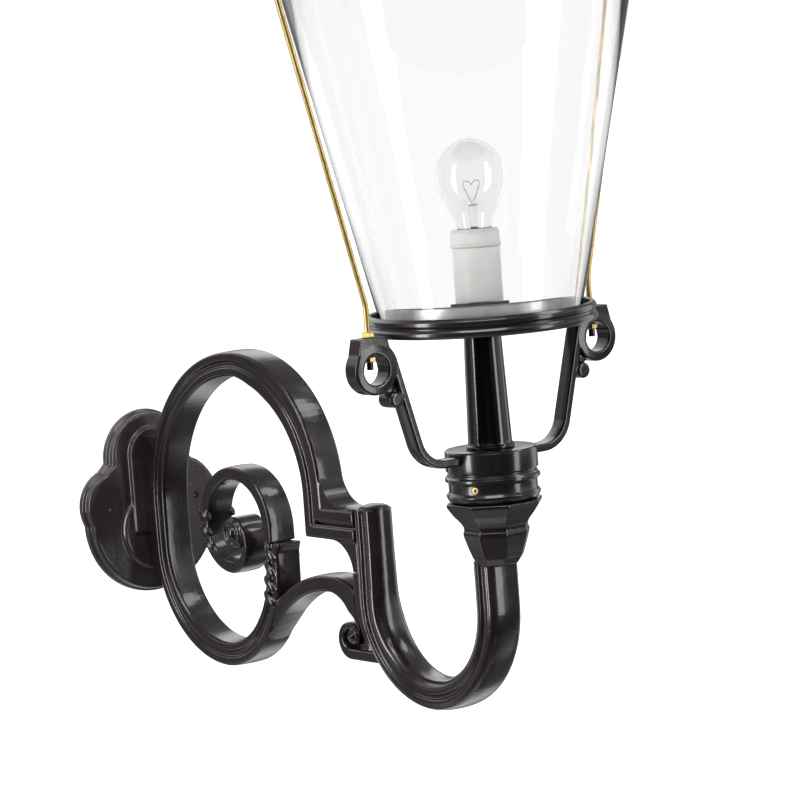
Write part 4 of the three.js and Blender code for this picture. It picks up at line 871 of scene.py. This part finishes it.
def yoke_arm(turn):
    """The +X side's arm, turned about the lantern's axis."""
    eye_level = base_foot - eye_drop
    lug_top = eye_level + lug_rise
    lean = math.radians(yoke_lean)
    wrap = eye_radius - 1.2

    def polar(radius, degrees):
        a = math.radians(degrees)
        return eye_x + radius * math.cos(a), eye_level + radius * math.sin(a)

    touch = polar(wrap, yoke_lean + 90)
    bend_level = yoke_level + yoke_bend_radius
    rise = touch[1] - bend_level + yoke_bend_radius * math.cos(lean)
    bend_end = (touch[0] - rise / math.tan(lean), touch[1] - rise)
    bend_centre = (bend_end[0] - yoke_bend_radius * math.sin(lean), bend_level)
    depths = (yoke_depth, yoke_depth)
    bar = chain(
        line((yoke_root, yoke_level), (bend_centre[0], yoke_level), depths, yoke_width),
        arc(bend_centre, yoke_bend_radius, -90, yoke_lean - 90, depths, yoke_width),
        line(bend_end, touch, depths, yoke_width),
        arc((eye_x, eye_level), wrap, yoke_lean + 90, yoke_lean + 90 - yoke_wrap, depths, yoke_width),
    )
    half = yoke_width / 2
    knob = polar(knob_reach, knob_angle)
    lug = [(eye_x - eye_radius + 1.5, eye_level), (eye_x + eye_radius - 1.5, eye_level),
           (eye_x + lug_half_width, lug_top), (eye_x - lug_half_width, lug_top)]
    web = [polar(eye_radius - 1.2, yoke_lean + 90), knob, polar((eye_radius + eye_hole_radius) / 2, knob_angle + 7)]
    rim = rounded([(eye_hole_radius, -half - 1), (eye_radius, -half), (eye_radius, half), (eye_hole_radius, half + 1),
                   (eye_hole_radius, -half - 1)], 1.6)
    ring = turned(rim, 64, (eye_x, eye_level), along_y=True)
    knob_profile = rounded([(0, -knob_width / 2), (knob_radius, -knob_width / 2), (knob_radius, knob_width / 2),
                            (0, knob_width / 2)], 2.4)
    hole = [(eye_hole_radius * math.cos(a), eye_hole_radius * math.sin(a))
            for a in (2 * math.pi * i / 64 for i in range(64))]
    shapes = [
        sweep(bar, plain_section(1.4, 0.4), in_yoke),
        prism(lug, -half, half, in_yoke),
        prism(web, -half / 2, half / 2, in_yoke),
        ring,
        turned(knob_profile, SMALL_SIDES, knob, along_y=True),
    ]
    mesh = cast_mesh("yoke", shapes, 0.6, 4)
    tools = [
        prism([(eye_x + a, eye_level + b) for a, b in hole], -2 * half, 2 * half, in_yoke),
        turned([(0, eye_level), (rod_radius + seat_gap, eye_level), (rod_radius + seat_gap, lug_top + 3),
                (0, lug_top + 3)], SMALL_SIDES, (121.5, 0)),
        turned([(0, base_foot - 2), (base_radius + seat_gap, base_foot - 2),
                (base_radius + seat_gap, base_head + 9), (0, base_head + 9)], ROUND_SIDES, (0, 0)),
    ]
    mesh = cut_by(mesh, tools)
    mesh.transform(Matrix.Translation((0, -reach * MM, 0)) @ Matrix.Rotation(turn, 4, "Z"))
    return mesh


# Tray, gaskets and glass
def base_plate():
    foot, head, radius = extent("base_plate")
    wall = 1.6
    profile = [(6, head - wall), (radius - wall, head - wall), (radius - wall, foot), (radius, foot), (radius, head)]
    for inset in (6, 13):
        edge = radius - inset
        profile += [(edge, head), (edge - 1, head + 1), (edge - 3, head + 1), (edge - 4, head)]
    profile += [(6, head), (6, head - wall)]
    return mesh_of("base_plate", [turned(rounded(profile, 0.8), 192)])


def plain_ring(node, inner, fillet=0.5):
    foot, head, radius = extent(node)
    profile = [(inner, foot), (radius, foot), (radius, head), (inner, head), (inner, foot)]
    return mesh_of(node, [turned(rounded(profile, fillet), 192)])


glass_foot, glass_head, glass_head_radius = extent("lantern_glass")
glass_foot_radius = 87
glass_wall = 4.5


def lantern_glass():
    profile = [(glass_foot_radius - glass_wall, glass_foot), (glass_foot_radius, glass_foot),
               (glass_head_radius, glass_head), (glass_head_radius - glass_wall, glass_head),
               (glass_foot_radius - glass_wall, glass_foot)]
    return mesh_of("lantern_glass", [turned(rounded(profile, 1.2), 256)])


# Brass
def tie_rod(side):
    low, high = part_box("tie_rod_right")
    foot, head = low.z / MM, high.z / MM
    lug_top = base_foot - eye_drop + lug_rise
    rod_x, taper, bend_radius = 121.5, 0.255, 40
    lean = math.atan(taper)
    bend_foot = lug_top + 22
    bend_head = bend_foot + bend_radius * math.sin(lean)
    bend_x = rod_x + bend_radius * (1 - math.cos(lean))
    top = head - rod_radius * math.sin(lean)
    end_x = bend_x + taper * (top - bend_head)
    depths = (2 * rod_radius, 2 * rod_radius)
    stations = chain(
        line((rod_x, foot), (rod_x, bend_foot), depths, 0),
        arc((rod_x + bend_radius, bend_foot), bend_radius, 180, 180 - math.degrees(lean), depths, 0),
        line((bend_x, bend_head), (end_x, top), depths, 0),
    )
    verts, faces = sweep(stations, round_section, in_yoke)
    return mesh_of("tie_rod", [([(side * x, y - reach, z) for x, y, z in verts], faces)])


def hex_nut(node, lean=0.0):
    """A chamfered nut in a nut node's box."""
    low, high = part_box(node)
    middle = (low + high) / 2 / MM
    height = (high.z - low.z) / MM
    corner, bore = rod_nut_flats / math.sqrt(3), rod_radius + seat_gap
    chamfer = 0.6
    profile = [(bore, -height / 2), (corner - chamfer, -height / 2), (corner, -height / 2 + chamfer),
               (corner, height / 2 - chamfer), (corner - chamfer, height / 2), (bore, height / 2),
               (bore, -height / 2)]
    verts, faces = turned(profile, 6, (0, 0))
    return mesh_of(node, [([(x + middle.x, y + middle.y, z + middle.z) for x, y, z in verts], faces)])


def cap_nut(node):
    low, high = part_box(node)
    middle = (low + high) / 2 / MM
    side = math.copysign(1, middle.x)
    lean = Vector((side * 0.255, 0, 1)).normalized()
    corner, bore, foot = rod_nut_flats / math.sqrt(3), rod_radius + seat_gap, -cap_nut_height / 2
    hexagon = [(bore, foot), (corner - 0.6, foot), (corner, foot + 0.6), (corner, foot + 4), (corner - 0.6, foot + 4.5),
               (bore, foot + 4.5), (bore, foot)]
    dome = [(bore, foot + 3.5), (4.3, foot + 3.5), (4.3, foot + 6.5), (3.6, foot + 8.8), (2.2, foot + 10.3),
            (0, foot + 11), (0, foot + 10.2), (bore, foot + 8), (bore, foot + 3.5)]
    shapes = [rod_shape(middle, lean, 0, 0, 6, hexagon), rod_shape(middle, lean, 0, 0, SMALL_SIDES, dome)]
    return settled(mesh_of(node, shapes), [("REMESH", {"mode": "VOXEL", "voxel_size": 0.25 * MM}),
                                           ("SMOOTH", {"factor": 0.5, "iterations": 2})])


# Lamp holder and bulb
def holder_body():
    foot, head, radius = extent("holder_body")
    bore, floor = 15.4, foot + 14
    room = foot + 9
    profile = [(11, foot), (radius - 0.3, foot), (radius, foot + 3.2), (radius, head), (bore, head), (bore, floor),
               (3.4, floor), (3.4, room), (11, room), (11, foot)]
    return mesh_of("holder_body", [turned(rounded(profile, 0.7))])


def holder_ring():
    foot, head, radius = extent("holder_ring")
    bore = 15.4
    profile = [(bore, foot), (radius - 1, foot), (radius, foot + 1), (radius, foot + 2.6), (radius - 0.9, foot + 3.4),
               (radius - 0.9, head - 3), (radius - 2.4, head), (bore, head), (bore, foot)]
    return mesh_of("holder_ring", [turned(rounded(profile, 0.6))])


bulb_foot, bulb_head, bulb_radius = extent("bulb_glass")
neck_share = 12.9 / bulb_radius
neck_rise = (extent("holder_ring")[1] - bulb_foot) / (bulb_head - bulb_foot)
globe_shares = ((0.54, 0.075), (0.585, 0.165), (0.7, 0.24), (0.79, 0.3), (0.86, 0.357), (0.925, 0.415), (0.97, 0.476),
                (0.993, 0.53), (1, 0.583), (0.988, 0.645), (0.957, 0.702), (0.9, 0.76), (0.825, 0.815), (0.73, 0.863),
                (0.62, 0.905), (0.47, 0.945), (0.3, 0.976))
bulb_shares = [(neck_share, 0), (neck_share * 1.05, neck_rise * 0.6), (neck_share * 1.12, neck_rise)]
bulb_shares += [(r, neck_rise + h * (1 - neck_rise)) for r, h in globe_shares]


def bulb_glass():
    height, wall = bulb_head - bulb_foot, 0.9
    outer = [(r * bulb_radius, bulb_foot + h * height) for r, h in bulb_shares] + [(0, bulb_head)]
    inner = [(r * (bulb_radius - wall) - wall * (1 - r) * (1 - h), bulb_foot + h * (height - wall))
             for r, h in reversed(bulb_shares)]
    profile = [*outer, (0, bulb_head - wall), *inner, outer[0]]
    return settled(mesh_of("bulb_glass", [turned(profile, 64)]), [("SUBSURF", {"levels": 1})])


def bulb_cap():
    foot, head, radius = extent("bulb_cap")
    profile = [(0, foot), (radius / 2, foot)]
    steps = 48
    for i in range(steps + 1):
        t = i / steps
        profile.append((radius - 0.4 + 0.4 * math.sin(2 * math.pi * 5 * t), foot + 3 + (head - foot - 4) * t))
    profile += [(radius - 0.8, head), (0, head)]
    return mesh_of("bulb_cap", [turned(profile, 64)])


def bulb_stem():
    foot, head, radius = extent("bulb_stem")
    height, slim = head - foot, radius / 3
    profile = [(0, foot), (radius, foot), (radius * 0.8, foot + height * 0.2), (slim, foot + height * 0.42),
               (slim, foot + height * 0.9), (slim * 1.5, foot + height * 0.95), (0, head)]
    return mesh_of("bulb_stem", [turned(rounded(profile, 3), SMALL_SIDES)])


# Hood, vent and finial
hood_foot_z, hood_head, hood_radius = extent("hood")
ring_foot, ring_head, _ = extent("top_ring")
top_ring_head = glass_head + 9.6
hood_lift = 18
hood_height = 100
hood_wall = 2.6
hood_mouth = 48
hood_skirt_radius = 161
hood_foot = top_ring_head + hood_lift
hood_shares = ((1, 0.03), (0.93, 0.09), (0.84, 0.18), (0.68, 0.38), (0.5, 0.64), (0.36, 0.88), (0.3, 1))
top_ring_radius = 168
hinge_y = top_ring_radius + 13
hinge_z = top_ring_head + 8
screw_boss_radius = 9.5


def roof_level(radius):
    share = radius / hood_radius
    for (r0, h0), (r1, h1) in zip(hood_shares, hood_shares[1:]):
        if r1 <= share:
            return hood_foot + hood_height * (h0 + (h1 - h0) * (r0 - share) / (r0 - r1))
    return hood_foot + hood_height


def x_rod(radius, length, x, y, z):
    return rod_shape((x - length / 2, y, z), (1, 0, 0), length, radius)


def hood():
    outer = [(r * hood_radius, hood_foot + h * hood_height) for r, h in hood_shares]
    inner = [(r * hood_radius - hood_wall / 2, hood_foot + h * hood_height - hood_wall)
             for r, h in reversed(hood_shares[1:-1])]
    head = hood_foot + hood_height
    skirt_head = roof_level(hood_skirt_radius) - hood_wall
    skirt_foot = top_ring_head + seat_gap
    profile = [(hood_radius, hood_foot), *outer, (hood_mouth, head), (hood_mouth, head - hood_wall),
               *[p for p in inner if p[0] < hood_skirt_radius],
               (hood_skirt_radius - hood_wall, skirt_head), (hood_skirt_radius - hood_wall, skirt_foot),
               (hood_skirt_radius, skirt_foot), (hood_skirt_radius, skirt_head - hood_wall),
               *[p for p in inner if p[0] > hood_skirt_radius], (hood_radius - hood_wall, hood_foot),
               (hood_radius, hood_foot)]
    shapes = [turned(rounded(profile, 9), 192)]
    for side in (-1, 1):
        x = side * 12.3
        y = hinge_y - reach
        shapes.append(x_rod(4.6, 10, x, y, hinge_z))
        shapes.append(block((x - 5, y - 4.6, hinge_z), (x + 5, y + 2.3, roof_level(hinge_y + 2.3) - 1)))
    boss_foot = roof_level(hinge_y + screw_boss_radius) - hood_wall / 2
    seat = roof_level(hinge_y - screw_boss_radius)
    shapes.append(turned([(0, boss_foot), (screw_boss_radius, boss_foot), (screw_boss_radius, seat), (0, seat)],
                         SMALL_SIDES, (0, -hinge_y - reach)))
    mesh = cast_mesh("hood", shapes, 1.1, 3)
    tools = [
        turned([(0, skirt_foot), (2.8, skirt_foot), (2.8, head), (0, head)], SMALL_SIDES, (0, -hinge_y - reach)),
        x_rod(2.35, 60, 0, hinge_y - reach, hinge_z),
    ]
    return cut_by(mesh, tools)


def top_ring():
    ring_low = top_ring_head - 6
    wall = 4.5
    skirt = ring_low - 14
    profile = [(149, ring_low), (top_ring_radius - wall, ring_low), (top_ring_radius - wall, skirt),
               (top_ring_radius, skirt), (top_ring_radius, top_ring_head), (149, top_ring_head), (149, ring_low)]
    low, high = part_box("top_ring")
    shapes = [turned(rounded(profile, 1.5), 192)]
    for side in (-1, 1):
        ends = sorted((side * (top_ring_radius - wall / 2), side * high.x / MM))
        shapes.append(block((ends[0], -reach - 9, ring_low), (ends[1], -reach + 9, top_ring_head)))
    shapes.append(block((-9, low.y / MM, ring_low), (9, -reach - top_ring_radius + wall / 2, top_ring_head)))
    shapes.append(block((-7, -reach + top_ring_radius - wall / 2, ring_low), (7, -reach + hinge_y, hinge_z)))
    shapes.append(x_rod(4.6, 14, 0, hinge_y - reach, hinge_z))
    mesh = cast_mesh("top_ring", shapes, 1.0, 3)
    tools = [
        turned([(0, skirt), (3.1, skirt), (3.1, top_ring_head + 3), (0, top_ring_head + 3)], SMALL_SIDES,
               (0, -hinge_y - reach)),
        x_rod(2.35, 20, 0, hinge_y - reach, hinge_z),
    ]
    for name in ("cap_nut_left", "cap_nut_right"):
        box_low, box_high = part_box(name)
        middle = (box_low + box_high) / 2 / MM
        lean = Vector((math.copysign(0.255, middle.x), 0, 1)).normalized()
        tools.append(rod_shape(middle - lean * 30, lean, 45, rod_radius + seat_gap))
    return cut_by(mesh, tools)


def hood_screw():
    foot, head, radius = extent("hood_screw")
    seat = head - 10
    knurls = 40
    verts, faces = turned(rounded([(0, foot), (2.5, foot), (2.5, seat), (radius, seat), (radius, head - 2),
                                   (radius - 1.6, head), (0, head)], 0.5), knurls * 2, (0, 0))
    rough = []
    for x, y, z in verts:
        r = math.hypot(x, y)
        dip = 0.35 if r > radius - 0.6 and round(math.atan2(y, x) * knurls / math.pi) % 2 else 0
        share = (r - dip) / r if r > 0 else 1
        rough.append((x * share, y * share - hinge_y - reach, z))
    return mesh_of("hood_screw", [(rough, faces)])


def vent_chimney():
    foot, head, flange = extent("vent_chimney")
    radius, wall, slots = 50, 4, 10
    profile = [(radius - wall, foot), (flange, foot), (flange, foot + wall), (radius, foot + wall), (radius, head),
               (radius - wall, head), (radius - wall, foot)]
    mesh = mesh_of("vent_chimney", [turned(rounded(profile, 1.2))])
    tools = []
    for i in range(slots):
        verts, faces = block((radius / 2, -5, foot + 2 * wall), (flange, 5, head - wall))
        a = 2 * math.pi * i / slots
        tools.append(([(x * math.cos(a) - y * math.sin(a), x * math.sin(a) + y * math.cos(a) - reach, z)
                       for x, y, z in verts], faces))
    return cut_by(mesh, tools)


vent_cap_shares = ((1, 0), (1, 0.12), (0.88, 0.22), (0.62, 0.42), (0.38, 0.66), (0.24, 0.88), (0.2, 1))


def vent_cap():
    foot, head, radius = extent("vent_cap")
    outer = [(r * radius, foot + h * (head - foot)) for r, h in vent_cap_shares]
    inner = radius - 2 * hood_wall
    profile = [(0, foot + hood_wall), (46, foot + hood_wall), (46, foot), (50, foot), (50, foot + hood_wall),
               (inner, foot + hood_wall), (inner, foot), *outer, (0, head)]
    return mesh_of("vent_cap", [turned(rounded(profile, 1.5), 128)])


finial_shares = ((0.9, 0), (0.9, 0.07), (0.5, 0.13), (0.42, 0.22), (0.75, 0.27), (0.97, 0.36), (1, 0.43),
                 (0.95, 0.52), (0.72, 0.61), (0.42, 0.67), (0.3, 0.72), (0.34, 0.77), (0.22, 0.86), (0.1, 0.96))


def finial():
    foot, head, radius = extent("finial")
    scale = radius / max(r for r, _ in finial_shares)
    outer = [(r * scale, foot + h * (head - foot)) for r, h in finial_shares]
    profile = [(0, foot), *outer, (0, head)]
    return settled(mesh_of("finial", [turned(rounded(profile, 2.5), 64)]), [("SUBSURF", {"levels": 1})])


# Everything in its place
show("wall_plate", wall_plate(), plate_enamel_painted_light)
show("big_scroll", big_scroll(), enamel_cast)
show("inner_scroll", inner_scroll(), enamel_cast)
show("j_arm", j_arm(), enamel_cast)
show("collar", collar(), enamel_smooth)
for name in grub_names:
    show(name, grub_screw(name), brass)
show("centre_tube", centre_tube(), tube_black)
show("yoke_arm_right", yoke_arm(0.0), enamel_cast)
show("yoke_arm_left", yoke_arm(math.pi), enamel_cast)
show("base_ring", base_ring(), enamel_smooth)
show("base_plate", base_plate(), tray_metal)
show("base_gasket", plain_ring("base_gasket", glass_foot_radius - glass_wall - 1.2), rubber)
show("top_gasket", plain_ring("top_gasket", glass_head_radius - glass_wall), rubber)
show("holder_pad", plain_ring("holder_pad", 11), rubber)
show("lantern_glass", lantern_glass(), lantern_clear)
show("tie_rod_right", tie_rod(1), brass)
show("tie_rod_left", tie_rod(-1), brass)
for kind in ("lug_nut", "eye_nut"):
    for side in ("left", "right"):
        show(f"{kind}_{side}", hex_nut(f"{kind}_{side}"), brass)
for side in ("left", "right"):
    show(f"cap_nut_{side}", cap_nut(f"cap_nut_{side}"), brass)
show("holder_body", holder_body(), porcelain)
show("holder_ring", holder_ring(), porcelain)
show("bulb_glass", bulb_glass(), bulb_clear)
show("bulb_cap", bulb_cap(), brass)
show("bulb_stem", bulb_stem(), bulb_clear)
show("hood", hood(), enamel_cast)
show("top_ring", top_ring(), enamel_cast)
show("hood_screw", hood_screw(), brass)
show("vent_chimney", vent_chimney(), enamel_smooth)
show("vent_cap", vent_cap(), enamel_smooth)
show("finial", finial(), enamel_smooth)
finishes = {"nipple": steel, "nipple_nut_lower": steel, "nipple_nut_upper": steel, "bulb_filament": filament_wire,
            "holder_shell": brass, "holder_contact": brass, "bulb_contact": brass, "hinge_pin": brass}
for name, material in finishes.items():
    worn = frame["nodes"][name].data.materials
    worn.clear()
    worn.append(material)

# Floor
floor_drop = 0.6  # metres under the lantern
floor_size = 60.0
floor_mesh = bpy.data.meshes.new("floor")
half = floor_size / 2
floor_z = cad_low.z - floor_drop
floor_mesh.from_pydata([(-half, -half, floor_z), (half, -half, floor_z), (half, half, floor_z),
                        (-half, half, floor_z)], [], [(0, 1, 2, 3)])
floor = bpy.data.objects.new("floor", floor_mesh)
scene.collection.objects.link(floor)
floor_paint = bpy.data.materials.new("floor_paint")
floor_paint.use_nodes = True
floor_shader = floor_paint.node_tree.nodes["Principled BSDF"]
floor_shader.inputs["Base Color"].default_value = (0.9, 0.9, 0.9, 1)
floor_shader.inputs["Roughness"].default_value = 0.9
floor_shader.inputs["Emission Color"].default_value = (1, 1, 1, 1)
floor_shader.inputs["Emission Strength"].default_value = 1.0
floor_mesh.materials.append(floor_paint)
floor.visible_glossy = False
floor.visible_diffuse = False
floor.visible_transmission = False

# Camera at the photograph's angle
camera_azimuth, camera_elevation, camera_roll = math.radians(-37.02), math.radians(6.28), math.radians(-4.31)
camera_target = Vector((0.0, -0.4197, 0.1159))
camera_distance = 3.5082
camera_sensor = 36.0
focal_pixels = 3986.5
frame_pixels = 800
back = Vector((math.sin(camera_azimuth) * math.cos(camera_elevation),
               -math.cos(camera_azimuth) * math.cos(camera_elevation), math.sin(camera_elevation)))
right = Vector((math.cos(camera_azimuth), math.sin(camera_azimuth), 0))
up = back.cross(right)
axis_x = right * math.cos(camera_roll) + up * math.sin(camera_roll)
axis_y = up * math.cos(camera_roll) - right * math.sin(camera_roll)
camera_data = bpy.data.cameras.new("camera")
camera_data.sensor_width = camera_sensor
camera_data.lens = focal_pixels / frame_pixels * camera_sensor
camera_data.clip_start, camera_data.clip_end = 0.1, 100
camera = bpy.data.objects.new("camera", camera_data)
scene.collection.objects.link(camera)
camera.matrix_world = Matrix.Translation(camera_target + back * camera_distance) @ Matrix(
    (axis_x, axis_y, back)).transposed().to_4x4()
scene.camera = camera


# Soft boxes stand round the lantern; the azimuth is the camera's kind
def soft_box(name, azimuth, distance, height, size, watts, tint=(1, 1, 1)):
    a = math.radians(azimuth)
    centre = Vector((0, -reach * MM, height))
    data = bpy.data.lights.new(name, "AREA")
    data.shape = "RECTANGLE"
    data.size, data.size_y = size
    data.energy = watts
    data.color = tint
    light = bpy.data.objects.new(name, data)
    scene.collection.objects.link(light)
    light.location = centre + Vector((math.sin(a), -math.cos(a), 0)) * distance
    aim = Vector((0, -0.42, 0.2)) - light.location
    light.rotation_mode = "QUATERNION"
    light.rotation_quaternion = aim.to_track_quat("-Z", "Y")
    light.visible_camera = False
    return light


soft_box("box_right", 27, 2.2, 0.5, (0.55, 2.4), 18)
soft_box("box_high", 66, 1.4, 1.95, (0.6, 0.6), 4.5)
soft_box("box_left", -98, 2.4, 0.6, (0.6, 2.4), 46)
soft_box("box_top", -37, 1.2, 2.6, (1.6, 1.6), 45)

# Studio: white behind the lantern and above it, dim on the camera's side
world = bpy.data.worlds.new("studio")
world.use_nodes = True
scene.world = world
tree = world.node_tree
tree.nodes.clear()
place = put(tree, "ShaderNodeTexCoord").outputs["Generated"]
facing = put(tree, "ShaderNodeVectorMath", operation="DOT_PRODUCT", links={0: place})
facing.inputs[1].default_value = -back
shade = put(tree, "ShaderNodeMapRange", {"From Min": -0.9, "From Max": 0.95, "To Min": 0.08, "To Max": 0.8},
            {"Value": facing.outputs["Value"]}, interpolation_type="SMOOTHSTEP")
overhead = put(tree, "ShaderNodeVectorMath", operation="DOT_PRODUCT", links={0: place})
overhead.inputs[1].default_value = (0, 0, 1)
ceiling = put(tree, "ShaderNodeMapRange", {"From Min": 0.1, "From Max": 0.9, "To Min": 0.0, "To Max": 0.3},
              {"Value": overhead.outputs["Value"]}, interpolation_type="SMOOTHSTEP")
even = put(tree, "ShaderNodeMath", operation="ADD", links={0: shade.outputs[0], 1: ceiling.outputs[0]})
flags = put(tree, "ShaderNodeTexNoise", {"Scale": 1.7, "Detail": 1.0}, {"Vector": place})
uneven = put(tree, "ShaderNodeMapRange", {"From Min": 0.42, "From Max": 0.62, "To Min": 0.3, "To Max": 1.7},
             {"Value": flags.outputs["Fac"]}, interpolation_type="SMOOTHSTEP")
glow = put(tree, "ShaderNodeMath", operation="MULTIPLY", links={0: even.outputs[0], 1: uneven.outputs[0]})
studio = put(tree, "ShaderNodeBackground", {"Color": (1, 0.985, 0.985, 1)}, {"Strength": glow.outputs[0]})
beyond = put(tree, "ShaderNodeMapRange", {"From Min": 0.2, "From Max": 0.85, "To Min": 0.7, "To Max": 1.04},
             {"Value": facing.outputs["Value"]}, interpolation_type="SMOOTHSTEP")
through = put(tree, "ShaderNodeBackground", {"Color": (1, 1, 1, 1)}, {"Strength": beyond.outputs[0]})
sky = put(tree, "ShaderNodeBackground", {"Color": (1, 1, 1, 1), "Strength": 1.05})
path = put(tree, "ShaderNodeLightPath")
inside = put(tree, "ShaderNodeMixShader", links={0: path.outputs["Is Transmission Ray"], 1: studio.outputs[0],
                                                 2: through.outputs[0]})
both = put(tree, "ShaderNodeMixShader", links={0: path.outputs["Is Camera Ray"], 1: inside.outputs[0],
                                               2: sky.outputs[0]})
put(tree, "ShaderNodeOutputWorld", links={"Surface": both.outputs[0]})
scene.view_settings.view_transform = "Standard"
